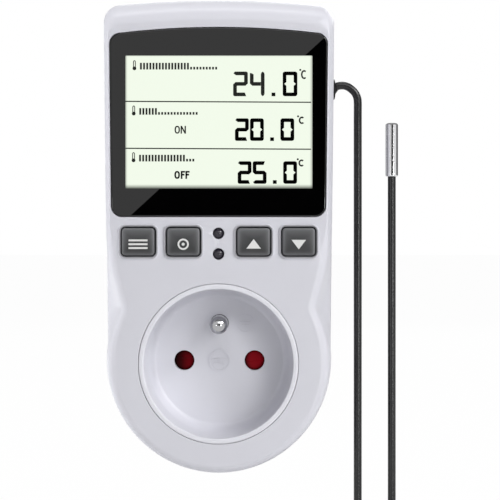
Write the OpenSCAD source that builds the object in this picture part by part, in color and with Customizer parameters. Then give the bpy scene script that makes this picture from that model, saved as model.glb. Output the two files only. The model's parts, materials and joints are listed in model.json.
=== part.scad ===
// Plug in temperature controller with a pass-through socket and a wired probe.
// Upright: +Z up, the front faces -Y, and the plug's contact face lies at y = 0.
// Depths are counted from the front plane towards the wall.

/* [Casing] */
// Half the width of the casing at its top
top_half_w = 30.9; // [28:0.1:36]
// Radius of the casing's round lower end
low_r = 30; // [28:0.1:36]
// How far the round lower end's centre lies above the socket's axis
low_rise = 0.8; // [0:0.1:2]
// Height of the casing's top above the socket's axis
top_z = 96.8; // [94:0.2:120]
// Radius of the shallow arch along the top
top_arch_r = 250; // [200:10:400]
// Corner radius at the top of the casing
top_corner_r = 4.8; // [4:0.1:7]
// Corner radius at the top of the front face
face_corner_r = 3; // [2.5:0.1:4]
// Depth of the casing without its plug
body_d = 38; // [37:0.5:45]
// Thickness of the casing's side and back walls
wall = 2; // [1.8:0.1:2.4]
// Thickness of the front face
face_t = 2.4; // [2.2:0.1:2.8]
// Depth at which the front and back covers meet
split_d = 25; // [24.5:0.1:26]
// How far the front edge is drawn in at the top half of the sides
side_draw = 1.8; // [1.2:0.1:2.4]
// How far the front edge is drawn in at the top
top_draw = 5.1; // [4:0.1:6]
// Radius of the round part of the front face
face_low_r = 28.4; // [27.5:0.1:29]
// Depth over which the front edge and the finger scoops run out
scoop_d = 14; // [12:0.5:18]
// Height at which the straight sides start to run into the scoops
scoop_top_z = 27; // [25:0.5:29]
// Inward run of the scoops for each unit of height
scoop_slope_share = 0.29; // [0.2:0.01:0.35]
// Softness of the bend above the scoops
scoop_soft = 5; // [3:0.5:7]
// Softness of the waist between scoop and round front
waist_soft = 1; // [0.5:0.1:2]
// Rounding of the back edge
back_edge_r = 3; // [2:0.1:4]
// Draft of the back cover on each side
back_draft = 0.3; // [0.1:0.1:0.6]
// Thickness of the back cover's locating lip
lip_t = 0.9; // [0.7:0.1:1]
// Depth of the locating lip
lip_d = 1.5; // [1:0.1:1.8]
// Clearance round the lip and other parts that drop in
fit_gap = 0.1; // [0.05:0.01:0.15]

/* [Display] */
// Height of the middle of the display window
window_z = 62.6; // [62:0.1:63.2]
// Width of the display window at its top
window_w = 57; // [54:0.1:58]
// Draw-in of each side of the window towards its foot
window_taper = 0.45; // [0:0.05:1]
// Height of the window at its sides
window_h = 48; // [46:0.1:50]
// Rise of the window's arched top edge
window_arch = 1.5; // [0.5:0.1:2]
// Corner radius of the window
window_corner_r = 2.8; // [2:0.1:4]
// Thickness of the window
window_t = 1.5; // [1.2:0.1:1.6]
// How far the window stands proud of the front face
window_proud = 0.1; // [0:0.05:0.3]
// Gap round the window
window_gap = 0.15; // [0.1:0.01:0.2]
// Height of the middle of the lit area
lit_z = 63.3; // [62.6:0.1:63.6]
// Width of the lit area
lit_w = 49; // [44:0.5:50]
// Height of the lit area
lit_h = 35; // [32:0.5:36]
// Border between the lit area and the edge of the opening behind it
lit_border = 1; // [0.5:0.1:1.2]
// Width of the LCD glass
lcd_w = 54; // [53:0.1:54.4]
// Height of the LCD glass
lcd_h = 40; // [39:0.1:40.6]
// Thickness of the LCD glass
lcd_t = 2.8; // [2:0.1:3]
// Thickness of the backlight holder
holder_t = 3.5; // [3:0.1:4]
// Thickness of the light guide
guide_t = 2.4; // [2:0.1:2.8]
// Width of a zebra strip, which joins glass and board
zebra_w = 2; // [1.5:0.1:2.4]

/* [Buttons and lamps] */
// Height of the row of buttons
button_z = 32; // [31.6:0.1:32.4]
// Distance of the inner buttons from the middle
button_inner_x = 9.2; // [9:0.1:9.5]
// Distance of the outer buttons from the middle
button_outer_x = 21; // [20.8:0.1:21.1]
// Width of a button cap
cap_w = 8.7; // [8.4:0.1:8.9]
// Height of a button cap
cap_h = 7.3; // [7:0.1:7.5]
// Corner radius of a button cap
cap_r = 1; // [0.6:0.1:1.4]
// How far a cap stands proud of the front face
cap_proud = 0.9; // [0.7:0.1:1.2]
// Gap round a cap
cap_gap = 0.25; // [0.2:0.01:0.3]
// Travel of a button
button_travel = 0.5; // [0.3:0.05:0.5]
// Width of the raised rim round each button
rim_w = 0.7; // [0.3:0.1:0.8]
// Height of the raised rim
rim_h = 0.4; // [0.2:0.1:0.6]
// Flange that keeps a button in, beyond its cap on each side
flange_w = 0.55; // [0.4:0.05:0.6]
// Thickness of that flange
flange_t = 0.8; // [0.6:0.1:1]
// Radius of a lamp's dome
lamp_r = 1.45; // [1.3:0.05:1.6]
// Height of the upper lamp
upper_lamp_z = 34.2; // [33.8:0.1:34.6]
// Height of the lower lamp
lower_lamp_z = 28.8; // [28.6:0.1:29.2]
// How far the lamps stand proud of the front face
lamp_proud = 0.3; // [0.1:0.1:0.8]

/* [Socket] */
// Radius of the socket's mouth
mouth_r = 19.6; // [19.4:0.1:19.8]
// Radius of the socket at its floor
well_r = 19; // [18.7:0.1:19.1]
// Depth of the socket
well_d = 15; // [14.8:0.1:15.4]
// Radius of the socket insert where it shows in the front face
insert_r = 20.95; // [20.8:0.05:21.1]
// Distance of each contact from the middle
contact_x = 9.5; // [9.4:0.05:9.6]
// Radius of the contact holes in the socket's floor
contact_hole_r = 2.7; // [2.6:0.05:2.9]
// Radius of the contact pins, and of the earth pin
pin_r = 2.4; // [2.35:0.01:2.45]
// Play between a pin and the contact sleeve that it goes into
sleeve_gap = 0.025; // [0.01:0.005:0.04]
// Wall of a contact sleeve
sleeve_t = 0.575; // [0.5:0.025:0.6]
// Height of the earth pin above the contacts
earth_z = 10; // [9.8:0.1:10.2]
// Length of the earth pin above the socket's floor
earth_l = 14; // [13.5:0.1:14.5]

/* [Plug] */
// Height of the plug's body behind the casing
plug_l = 17.5; // [17:0.5:20]
// Radius of the plug's body
plug_r = 18.5; // [18.2:0.1:18.7]
// Length of the pins beyond the plug's body
pin_l = 19; // [18:0.5:20]
// Width of the side grooves in the plug's body
groove_w = 5; // [4:0.1:6]
// Depth of the side grooves
groove_d = 1.2; // [0.8:0.1:1.4]
// Width of the side earth clips
clip_w = 6; // [5:0.1:6.4]
// Thickness of the clips and the earth bar
strap_t = 0.8; // [0.6:0.1:0.9]

/* [Probe] */
// Diameter of the probe cable
cord_d = 2.2; // [2:0.1:2.3]
// Diameter of the steel probe sleeve
probe_d = 3.4; // [3:0.1:4]
// Length of the steel probe sleeve
probe_l = 14.6; // [12:0.2:20]
// Radius of the grommet's flange on the casing's side
grommet_r = 2.8; // [2.6:0.1:3]

/* [Hidden] */

$fn = 64;
fine = 64;
overrun = 1;

// Depths of the main layers, from the front plane towards the wall
front_y = -(plug_l + body_d);
recess_d = window_t - window_proud;
lcd_d = face_t;
holder_d = lcd_d + lcd_t;
board_t = 1.6;
board_d = holder_d + holder_t;
board_back_d = board_d + board_t;
floor_t = 2;
floor_back_d = well_d + floor_t;
inner_back_d = body_d - wall;
face_end_d = body_d + plug_l;
plug_face_t = 2;
plug_inner_d = face_end_d - plug_face_t;
plug_wall = 2;
plug_bore_r = plug_r - plug_wall;
power_lift = 2.8;
power_back_d = inner_back_d - power_lift;
power_d = power_back_d - board_t;

// Case screws, from the back cover into bosses of the front cover
upper_screw = [25, 88];
lower_screw = [22, -12];
screw_r = 1.4;
screw_head_r = 2.75;
screw_head_t = 2;
screw_seat_d = 31;
screw_end_d = 13;
boss_r = 2.9;
back_boss_r = 4.2;
back_bore_r = 3;
pilot_gap = 0.05;
pilot_spare = 0.5;

// Socket insert and its fixing
insert_gap = 0.1;
shoulder_r = 21.9;
shoulder_t = 2;
cup_back_r = 20.4;
mouth_bevel = 1.1;
well_fillet = 0.8;
lug_x = 24.5;
lug_r = 2.6;
lug_t = 2;
lug_lift = 3;
lug_boss_r = 2.4;
small_screw_r = 1;
small_head_r = 1.9;
small_head_t = 1.4;

// Shutter and contact carrier behind the socket's floor
shutter_gap = 0.15;
shutter_t = 2.5;
shutter_d = floor_back_d + shutter_gap;
shutter_back_d = shutter_d + shutter_t;
carrier_d = shutter_back_d + shutter_gap;
carrier_t = 2;
carrier_back_d = carrier_d + carrier_t;
carrier_r = 19.6;
pivot_r = 1.5;
pivot_gap = 0.05;
hub_r = 3.6;
lobe_r = 3.6;
arm_w = 4.4;
spring_bay_r = 3;
spring_bay_t = 1.5;
spring_r = 2.15;
spring_wire_r = 0.2;
spring_turns = 2;
post_r = 2;
post_low_z = -14;
post_high_z = 16.2;
contact_l = 11.5;
contact_lift = 0.5;
contact_d = carrier_back_d + contact_lift;
contact_back_d = contact_d + contact_l;
sleeve_r = pin_r + sleeve_gap;
sleeve_out_r = sleeve_r + sleeve_t;
sleeve_slit = 0.8;
housing_gap = 0.15;
housing_wall = 1.05;
housing_lip = 0.7;
housing_r = sleeve_out_r + housing_gap + housing_wall;
housing_back_d = contact_back_d + housing_lip;
tab_w = 2.4;
tab_l = 3.7;

// Earth parts
earth_shoulder_r = 2.7;
earth_shank_r = 1.9;
rivet_r = 2.8;
strap_z = earth_z + sleeve_out_r + fit_gap / 2;
strap_w = 6;
strap_end_d = 49;
foot_w = 8;
foot_z = 6.5;
spine_d = 38.2;
earth_hole_r = 2.9;
earth_sleeve_gap = 3.3;
earth_sleeve_d = spine_d + earth_sleeve_gap;
clip_z = 17.5;
clip_back_gap = 2;
clip_arch = 0.5;
channel_gap = 0.4;

// Plug pins and their retainer
pin_shoulder_r = 2.6;
pin_flange_r = 3.6;
pin_flange_t = 1.4;
pin_inner_l = 8;
pin_tail_r = 1.6;
pin_tail_l = 2.5;
pin_tail_d = face_end_d - pin_inner_l - pin_tail_l;
retainer_r = 15.5;
retainer_t = 2.2;
retainer_screw = [5.5, -9];

// Boards and what they carry
display_half_w = 26.4;
display_low_z = 22;
display_high_z = 84.5;
tab_half_w = 20;
display_tab_z = 89;
display_low_post = [24, 24.2];
display_high_post = [17, 86.8];
display_post_r = 1.8;
power_half_w = 25;
power_low_z = 24.5;
power_high_z = 83;
power_post = [21.5, 28.5];
power_high_post_z = 79;
power_post_r = 2.4;
switch_w = 6;
switch_h = 3.5;
plunger_r = 1.7;
plunger_gap = 0.05;
plunger_out = 1;
plunger_in = 1;
leg_r = 0.3;

// Side outlet of the probe cable
outlet_d = 20;
outlet_z = 73.7;
neck_r = 1.9;
flange_dome = 0.5;
seat_gap = 0.04;
inner_flange_r = 2.6;
inner_flange_t = 0.9;
cord_r = cord_d / 2;

// Coil of the cable that is put away
coil_x = 29.4;
coil_y = -17;
coil_out_r = 17.6;
coil_in_r = 7.3;
coil_low_z = -54.95;
coil_pitch = 2.65;
coil_layers = 4;
coil_turns = 15.75;
coil_rings = 24;
coil_sides = 6;
tube_sides = 8;

// Routes of the cable's two free stretches, and of the leads inside, from end to end
upper_route = [
  [31.85, -35.5, 74.5], [32.3, -35.5, 74.66], [33.1, -35.5, 74.8], [34.1, -35.5, 74.75],
  [35.2, -35.5, 74.35],
  [36.2, -35.5, 73.6], [37, -35.5, 72.7], [37.5, -35.5, 71.6], [37.7, -35.5, 70.2], [37.7, -35.5, 66],
  [37.7, -35.5, 58],
  [37.7, -35.5, 50], [37.7, -35.5, 42], [37.7, -35.5, 34], [37.7, -35.5, 26], [37.7, -35.5, 18],
  [37.7, -35.5, 10], [37.7, -35.5, 2], [37.7, -35.5, -6], [37.7, -35.5, -14], [37.7, -35.5, -22],
  [37.7, -35.5, -30], [37.7, -35.5, -38], [37.7, -35.5, -44], [37.7, -35.5, -48.5], [37.5, -35.5, -50.5],
  [36.8, -35.4, -52.4], [35.6, -35.1, -53.9], [34.2, -34.75, -54.75], [32.8, -34.6, -54.95],
  [31.6, -34.6, -54.95]
];
lower_route = [
  [47, -19.2, -47], [47, -22, -47], [47, -25, -47], [47, -28, -47], [47, -30.6, -47], [47, -32.4, -46.6],
  [47, -33.9, -45.7], [47, -34.9, -44.4], [47, -35.4, -42.8], [47, -35.5, -40.5], [47, -35.5, -34],
  [47, -35.5, -26], [47, -35.5, -18], [47, -35.5, -10], [47, -35.5, -2], [47, -35.5, 6],
  [47, -35.5, 14], [47, -35.5, 22], [47, -35.5, 30], [47, -35.5, 38], [47, -35.5, 46], [47, -35.5, 49.9]
];

function at(d) = front_y + d;
function larger(a, b, soft) = (a + b + sqrt((a - b) * (a - b) + soft * soft)) / 2;
function soft_step(x, soft) = (x + sqrt(x * x + soft * soft)) / 2;

// How much of the front edge's draw-in is left at a depth
function edge_share(d) = pow(1 - min(d / scoop_d, 1), 3);
function scoop_share(d) = 1 - pow(min(d / scoop_d, 1), 3);
function back_in(d) =
  let (t = max(0, (d - (body_d - back_edge_r)) / back_edge_r))
  (d > split_d ? back_draft * (d - split_d) / (body_d - split_d) : 0)
  + back_edge_r * (1 - sqrt(max(0, 1 - t * t)) ) * back_round_share;
back_round_share = 0.8;

// The casing's sizes at a depth, drawn in by a wall
function round_r(d, in) = low_r - (low_r - face_low_r) * edge_share(d) - back_in(d) - in;
function round_z(d) = low_rise * (1 - edge_share(d));
function half_w(d, in) = top_half_w - side_draw * edge_share(d) - back_in(d) - in;
function crown_z(d, in) = top_z - top_draw * edge_share(d) - back_in(d) - in;
function corner_r(d, in) =
  max(top_corner_r - (top_corner_r - face_corner_r) * edge_share(d) - in / 2, face_corner_r / 2);
function arch_drop(x) = x * x / (2 * top_arch_r);

// Draw-in of the finger scoops at a height, in the front plane
function face_round(z) = sqrt(max(0, face_low_r * face_low_r - z * z));
function face_scoop(z) = face_low_r - scoop_slope_share * soft_step(scoop_top_z - z, scoop_soft);
function scoop_in(z) = z < 0 ? 0 : max(0, face_low_r - larger(face_round(z), face_scoop(z), waist_soft));
function straight_x(z, d, in) =
  round_r(d, in) + (half_w(d, in) - round_r(d, in)) * (z - round_z(d)) / (top_z - round_z(d));
function side_x(z, d, in) = straight_x(z, d, in) - scoop_in(z) * scoop_share(d);

// One half of the casing's outline at a depth, from the middle of the top to the middle of the foot
arch_steps = 5;
corner_steps = 5;
side_steps = 18;
round_steps = 10;
function half_outline(d, in) =
  let (
    w = half_w(d, in),
    c = corner_r(d, in),
    top_x = w - c,
    corner_z = crown_z(d, in) - arch_drop(top_x) - c,
    foot_z = round_z(d),
    r = round_r(d, in)
  ) concat(
    [for (i = [0 : arch_steps - 1]) let (x = top_x * i / arch_steps) [x, crown_z(d, in) - arch_drop(x)]],
    [for (i = [0 : corner_steps]) let (a = 90 - 90 * i / corner_steps)
      [top_x + c * cos(a) - (w - side_x(corner_z, d, in)) * i / corner_steps, corner_z + c * sin(a)]],
    [for (i = [1 : side_steps]) let (u = pow(1 - i / side_steps, side_crowd),
    z = foot_z + (corner_z - foot_z) * u)
      [side_x(z, d, in), z]],
    [for (i = [1 : round_steps - 1]) let (a = -90 * i / round_steps) [r * cos(a), foot_z + r * sin(a)]]
  );
side_crowd = 1.6;
function outline(d, in) =
  let (half = half_outline(d, in), n = len(half))
  concat([for (p = half) [-p[0], p[1]]], [[0, round_z(d) - round_r(d, in)]],
    [for (i = [n - 1 : -1 : 1]) half[i]]);

// Skins closed rings of equal length into one solid
module skin(rings) {
  n = len(rings[0]);
  last = len(rings) - 1;
  polyhedron(
    points = [for (r = rings) for (p = r) p],
    faces = concat(
      [[for (i = [n - 1 : -1 : 0]) i]],
      [for (k = [0 : last - 1]) for (i = [0 : n - 1]) for (f = [0 : 1])
        let (a = k * n + i, b = k * n + (i + 1) % n)
        f == 0 ? [a, b, b + n] : [a, b + n, a + n]],
      [[for (i = [0 : n - 1]) last * n + i]]
    )
  );
}

// The casing's form between depths, drawn in by a wall. A block cuts both ends flat.
module casing_form(depths, in) {
  first = depths[0];
  last = depths[len(depths) - 1];
  span = 2 * top_z;
  stations = concat([[first - overrun, first]], [for (d = depths) [d, d]], [[last + overrun, last]]);
  intersection() {
    skin([for (s = stations) [for (p = outline(s[1], in)) [p[0], at(s[0]), p[1]]]]);
    block(-span, span, first, last, -span, span);
  }
}

// Shapes that stand on the front plane's axes
module slab(d0, d1) {
  translate([0, at(d1), 0])
    rotate([90, 0, 0])
      linear_extrude(d1 - d0)
        children();
}

module rod(d0, d1, r, x = 0, z = 0) {
  translate([x, at(d0), z])
    rotate([-90, 0, 0])
      cylinder(h = d1 - d0, r = r);
}

module block(x0, x1, d0, d1, z0, z1) {
  translate([x0, at(d0), z0])
    cube([x1 - x0, d1 - d0, z1 - z0]);
}

module rounded(w, h, r) {
  square([w - 2 * r, h], center = true);
  square([w, h - 2 * r], center = true);
  for (x = [-1, 1], y = [-1, 1])
    translate([x * (w / 2 - r), y * (h / 2 - r)])
      circle(r = r, $fn = fine);
}

module mirrored() {
  children();
  mirror([1, 0, 0])
    children();
}

// A screw driven towards the front plane, its head behind its seat
module screw(seat_d, end_d, r, head_r, head_t, x, z) {
  slot_w = head_r / 4;
  slot_t = head_t / 2;
  difference() {
    union() {
      rod(end_d, seat_d + head_t / 2, r, x, z);
      rod(seat_d, seat_d + head_t, head_r, x, z);
    }
    for (turn = [0, 90])
      translate([x, at(seat_d + head_t - slot_t), z])
        rotate([0, turn, 0])
          translate([-head_r * 0.6, 0, -slot_w / 2])
            cube([head_r * 1.2, slot_t + overrun, slot_w]);
  }
}

// Unit vectors and frames for swept tubes
function unit(v) = v / norm(v);
function heading(path, i) =
  unit(path[min(i + 1, len(path) - 1)] - path[max(i - 1, 0)]);
function ring_round(p, dir, side, r, sides) =
  let (u = unit(cross(dir, side)), v = cross(u, dir))
  [for (k = [0 : sides - 1]) let (a = 360 * k / sides) p + r * (cos(a) * u + sin(a) * v)];

// A tube along a path. The side direction is never along the path.
module tube(path, r, sides, side) {
  skin([for (i = [0 : len(path) - 1]) ring_round(path[i], heading(path, i), side, r, sides)]);
}

// A smooth path through chosen points, with some steps between each pair and straight ends
function route_slope(route, i) =
  let (n = len(route) - 1)
  i <= 1 ? route[1] - route[0] : i >= n - 1 ? route[n] - route[n - 1] : (route[i + 1] - route[i - 1]) / 2;
function smooth(route, steps) =
  let (n = len(route) - 1)
  concat([for (i = [0 : n - 1]) for (k = [0 : steps - 1])
    let (
      t = k / steps,
      a = route[i],
      b = route[i + 1],
      ta = route_slope(route, i),
      tb = route_slope(route, i + 1)
    )
    (2 * pow(t, 3) - 3 * t * t + 1) * a + (pow(t, 3) - 2 * t * t + t) * ta
    + (3 * t * t - 2 * pow(t, 3)) * b + (pow(t, 3) - t * t) * tb], [route[n]]);

// Covers

front_depths_shares = [0, 0.03, 0.08, 0.16, 0.27, 0.42, 0.6, 0.8, 1];
inner_depths_shares = [0, 0.25, 0.5, 0.75, 1];
front_depths = concat([for (s = front_depths_shares) s * scoop_d], [split_d]);
inner_front_depths = concat([for (s = inner_depths_shares) face_t + s * (scoop_d - face_t)],
  [split_d + overrun]);

module window_outline(grow) {
  w = window_w / 2 + grow;
  h = window_h / 2 + grow;
  r = window_corner_r + grow;
  arch = [for (i = [-6 : 6]) let (x = (w - r) * i / 6) [x, h + window_arch * (1 - i * i / 36)]];
  foot_w = w - window_taper;
  corner = [for (i = [0 : 6]) let (a = 15 * i) [cos(a), sin(a)]];
  polygon(concat(
    [for (p = arch) p],
    [for (i = [5 : -1 : 0]) [w - r + r * corner[i][0], h - r + r * corner[i][1]]],
    [for (i = [0 : 6]) [foot_w - r + r * corner[i][0], r - h - r * corner[i][1]]],
    [for (i = [6 : -1 : 0]) [r - foot_w - r * corner[i][0], r - h - r * corner[i][1]]],
    [for (i = [0 : 5]) [r - w - r * corner[i][0], h - r + r * corner[i][1]]]
  ));
}

module button_outline(grow) {
  rounded(cap_w + 2 * grow, cap_h + 2 * grow, cap_r + grow);
}

button_xs = [-button_outer_x, -button_inner_x, button_inner_x, button_outer_x];
lug_d = face_t + lug_lift;
display_posts = [display_low_post, display_high_post];
case_points = [upper_screw, lower_screw];

module front_cover() {
  lamp_hole_r = lamp_r + pilot_gap;
  outlet_hole_r = neck_r + pilot_gap;
  color([0.83, 0.83, 0.86])
    difference() {
      union() {
        difference() {
          casing_form(front_depths, 0);
          casing_form(inner_front_depths, wall);
        }
        mirrored() {
          for (p = case_points)
            rod(face_t - board_t / 4, split_d, boss_r, p[0], p[1]);
          for (p = display_posts)
            rod(face_t - board_t / 4, board_d, display_post_r, p[0], p[1]);
          rod(face_t - board_t / 4, lug_d, lug_boss_r, lug_x, 0);
        }
        for (x = button_xs)
          translate([x, 0, button_z])
            slab(-rim_h, rim_h)
              button_outline(cap_gap + rim_w);
      }
      casing_form([split_d - lip_d - fit_gap, split_d + overrun], wall - lip_t - fit_gap);
      translate([0, 0, window_z])
        slab(-overrun, recess_d)
          window_outline(window_gap);
      translate([0, 0, lit_z])
        slab(-overrun, face_t + overrun)
          square([lit_w + 2 * lit_border, lit_h + 2 * lit_border], center = true);
      for (x = button_xs)
        translate([x, 0, button_z])
          slab(-overrun, face_t + overrun)
            button_outline(cap_gap);
      for (z = [upper_lamp_z, lower_lamp_z])
        rod(-overrun, face_t + overrun, lamp_hole_r, 0, z);
      rod(-overrun, face_t + overrun, insert_r + insert_gap);
      mirrored() {
        for (p = case_points)
          rod(screw_end_d - pilot_spare, split_d + overrun, screw_r + pilot_gap, p[0], p[1]);
        for (p = display_posts)
          rod(board_d - display_screw_l, board_d + overrun, small_screw_r + pilot_gap, p[0], p[1]);
        rod(lug_d - insert_screw_l, lug_d + overrun, small_screw_r + pilot_gap, lug_x, 0);
      }
      translate([top_half_w - 2 * wall, at(outlet_d), outlet_z])
        rotate([0, 90, 0])
          cylinder(h = 4 * wall, r = outlet_hole_r);
    }
}
display_screw_l = 4.5;
insert_screw_l = 3.6;

back_depths_shares = [0, 0.35, 0.62, 0.82, 0.95, 1];
back_depths = concat([split_d], [for (s = back_depths_shares) body_d - back_edge_r * (1 - s)]);
inner_back_depths = [split_d - overrun, body_d - back_edge_r, inner_back_d];

module plug_shell() {
  rod(body_d - wall / 2, face_end_d, plug_r);
}

module back_cover() {
  clip_slot_w = clip_w / 2 + channel_gap;
  riser_d = clip_riser_d();
  color([0.8, 0.8, 0.83])
    difference() {
      union() {
        difference() {
          casing_form(back_depths, 0);
          casing_form(inner_back_depths, wall);
        }
        difference() {
          casing_form([split_d - lip_d, split_d + lip_d], wall - lip_t);
          casing_form([split_d - lip_d - overrun, split_d + lip_d + overrun], wall);
        }
        plug_shell();
        mirrored() {
          for (p = case_points)
            rod(split_d, body_d - wall / 2, back_boss_r, p[0], p[1]);
          for (z = [power_post[1], power_high_post_z])
            rod(power_back_d, body_d - wall / 2, power_post_r, power_post[0], z);
          rod(plug_inner_d - pin_flange_t, plug_inner_d + overrun, post_r, retainer_screw[0],
            retainer_screw[1]);
        }
      }
      difference() {
        rod(inner_back_d - overrun, plug_inner_d, plug_bore_r);
        mirrored()
          rod(plug_inner_d - pin_flange_t, plug_inner_d + overrun, post_r, retainer_screw[0],
            retainer_screw[1]);
      }
      mirrored() {
        rod(plug_inner_d - overrun, face_end_d + overrun, pin_shoulder_r + pilot_gap, contact_x, 0);
        for (p = case_points) {
          rod(split_d - overrun, screw_seat_d + overrun, screw_r + 2 * fit_gap, p[0], p[1]);
          rod(screw_seat_d, body_d + overrun, back_bore_r, p[0], p[1]);
        }
        for (z = [power_post[1], power_high_post_z])
          rod(power_back_d - overrun, power_d + power_screw_l, small_screw_r + pilot_gap, power_post[0], z);
        rod(plug_inner_d - pin_flange_t - overrun, plug_inner_d + retainer_bite, small_screw_r + pilot_gap,
          retainer_screw[0], retainer_screw[1]);
        block(plug_r - groove_d, plug_r + overrun, body_d + groove_d, face_end_d + overrun,
          -groove_w / 2, groove_w / 2);
      }
      rod(plug_inner_d - overrun, face_end_d + overrun, earth_hole_r, 0, earth_z);
      for (turn = [0, 180])
        rotate([0, turn, 0]) {
          block(-clip_slot_w, clip_slot_w, riser_d - channel_gap, face_end_d + overrun,
            clip_z - channel_gap / 2, plug_r + overrun);
          block(-clip_slot_w, clip_slot_w, riser_d - channel_gap, riser_d + strap_t + channel_gap,
            plug_bore_r - wall, plug_r + overrun);
        }
    }
}
power_screw_l = 4.8;
retainer_bite = 1;

// Display and buttons

module display_window() {
  color([0.1, 0.1, 0.11])
    translate([0, 0, window_z])
      slab(-window_proud, recess_d)
        window_outline(0);
}

module lcd_glass() {
  color([0.9, 0.95, 0.87])
    block(-lcd_w / 2, lcd_w / 2, lcd_d, holder_d, lit_z - lcd_h / 2, lit_z + lcd_h / 2);
}

zebra_z = lcd_h / 2 - zebra_w;
zebra_bay = zebra_w + 2 * fit_gap;
guide_h = 2 * (zebra_z - zebra_bay);
guide_w = lcd_w - 2 * zebra_w;

module backlight_holder() {
  color([0.92, 0.92, 0.9])
    difference() {
      block(-lcd_w / 2, lcd_w / 2, holder_d, board_d, lit_z - lcd_h / 2, lit_z + lcd_h / 2);
      block(-guide_w / 2, guide_w / 2, holder_d - overrun, holder_d + guide_t,
        lit_z - guide_h / 2, lit_z + guide_h / 2);
      for (s = [-1, 1])
        translate([0, 0, lit_z + s * zebra_z])
          block(-guide_w / 2, guide_w / 2, holder_d - overrun, board_d + overrun, -zebra_bay / 2,
            zebra_bay / 2);
    }
}

module light_guide() {
  color([0.95, 0.97, 0.98])
    block(fit_gap - guide_w / 2, guide_w / 2 - fit_gap, holder_d, holder_d + guide_t,
      lit_z - guide_h / 2 + fit_gap, lit_z + guide_h / 2 - fit_gap);
}

module zebra_strips() {
  color([0.75, 0.7, 0.66])
    for (s = [-1, 1])
      translate([0, 0, lit_z + s * zebra_z])
        block(fit_gap - guide_w / 2, guide_w / 2 - fit_gap, holder_d, board_d, -zebra_w / 2, zebra_w / 2);
}

module display_board() {
  color([0.12, 0.4, 0.2])
    difference() {
      union() {
        block(-display_half_w, display_half_w, board_d, board_back_d, display_low_z, display_high_z);
        block(-tab_half_w, tab_half_w, board_d, board_back_d, display_high_z - overrun, display_tab_z);
      }
      mirrored()
        for (p = display_posts)
          rod(board_d - overrun, board_back_d + overrun, small_screw_r + fit_gap, p[0], p[1]);
    }
}

module display_screws() {
  color([0.7, 0.7, 0.72])
    mirrored()
      for (p = display_posts)
        screw(board_back_d, board_d - display_screw_l + pilot_spare, small_screw_r, small_head_r,
          small_head_t, p[0], p[1]);
}

chip_w = 12;
chip_t = 1.6;
module controller_chip() {
  color([0.12, 0.12, 0.13])
    block(-chip_w / 2, chip_w / 2, board_back_d, board_back_d + chip_t, lit_z - chip_w / 2,
      lit_z + chip_w / 2);
}

link_half_w = 10;
link_t = 2.5;
link_z = 77;
link_pins = 8;
link_pin = 0.64;
module board_link() {
  link_step = 2 * link_half_w / link_pins;
  color([0.15, 0.15, 0.16]) {
    for (d = [board_back_d, power_d - link_t])
      block(-link_half_w, link_half_w, d, d + link_t, link_z - link_t / 2, link_z + link_t / 2);
    for (i = [0 : link_pins - 1])
      let (x = (i + 0.5) * link_step - link_half_w)
        block(x - link_pin / 2, x + link_pin / 2, board_back_d + link_t / 2, power_d - link_t / 2,
          link_z - link_pin / 2, link_z + link_pin / 2);
  }
}

plunger_d = board_d - switch_h - plunger_out;
stem_r = 1.5;
module button(x) {
  flange_d = face_t + fit_gap;
  color([0.25, 0.25, 0.26])
    translate([x, 0, button_z]) {
      slab(-cap_proud, flange_d + flange_t / 2)
        button_outline(0);
      slab(flange_d, flange_d + flange_t)
        button_outline(flange_w);
      rod(flange_d + flange_t / 2, plunger_d, stem_r);
    }
}

module mode_button() { button(-button_outer_x); }
module set_button() { button(-button_inner_x); }
module up_button() { button(button_inner_x); }
module down_button() { button(button_outer_x); }

module plunger(x) {
  color([0.9, 0.88, 0.8])
    rod(plunger_d, plunger_d + plunger_out + plunger_in, plunger_r, x, button_z);
}

module mode_plunger() { plunger(-button_outer_x); }
module set_plunger() { plunger(-button_inner_x); }
module up_plunger() { plunger(button_inner_x); }
module down_plunger() { plunger(button_outer_x); }

module tact_switches() {
  bore_d = plunger_d + plunger_out + plunger_in + button_travel + 2 * fit_gap;
  color([0.2, 0.2, 0.21])
    for (x = button_xs)
      difference() {
        block(x - switch_w / 2, x + switch_w / 2, board_d - switch_h, board_d, button_z - switch_w / 2,
          button_z + switch_w / 2);
        rod(board_d - switch_h - overrun, bore_d, plunger_r + plunger_gap, x, button_z);
      }
}

lamp_flange_r = 1.75;
lamp_flange_t = 1;
lamp_flange_d = 4.9;
lamp_leg_x = 0.9;
module lamp(z) {
  color([0.13, 0.12, 0.14])
    translate([0, 0, z]) {
      rod(lamp_r - lamp_proud, lamp_flange_d + lamp_flange_t / 2, lamp_r);
      translate([0, at(lamp_r - lamp_proud), 0])
        sphere(r = lamp_r);
      rod(lamp_flange_d, lamp_flange_d + lamp_flange_t, lamp_flange_r);
      mirrored()
        rod(lamp_flange_d + lamp_flange_t / 2, board_d, leg_r, lamp_leg_x, 0);
    }
}

module upper_lamp() { lamp(upper_lamp_z); }
module lower_lamp() { lamp(lower_lamp_z); }

// Socket

mark_r = 2.9;
mark_h = 0.15;
side_mark_x = 6.9;
side_mark_r = 2.6;
mark_slot_w = 0.9;

module turned() {
  translate([0, front_y, 0])
    rotate([-90, 0, 0])
      rotate_extrude($fn = 96)
        children();
}

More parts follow.
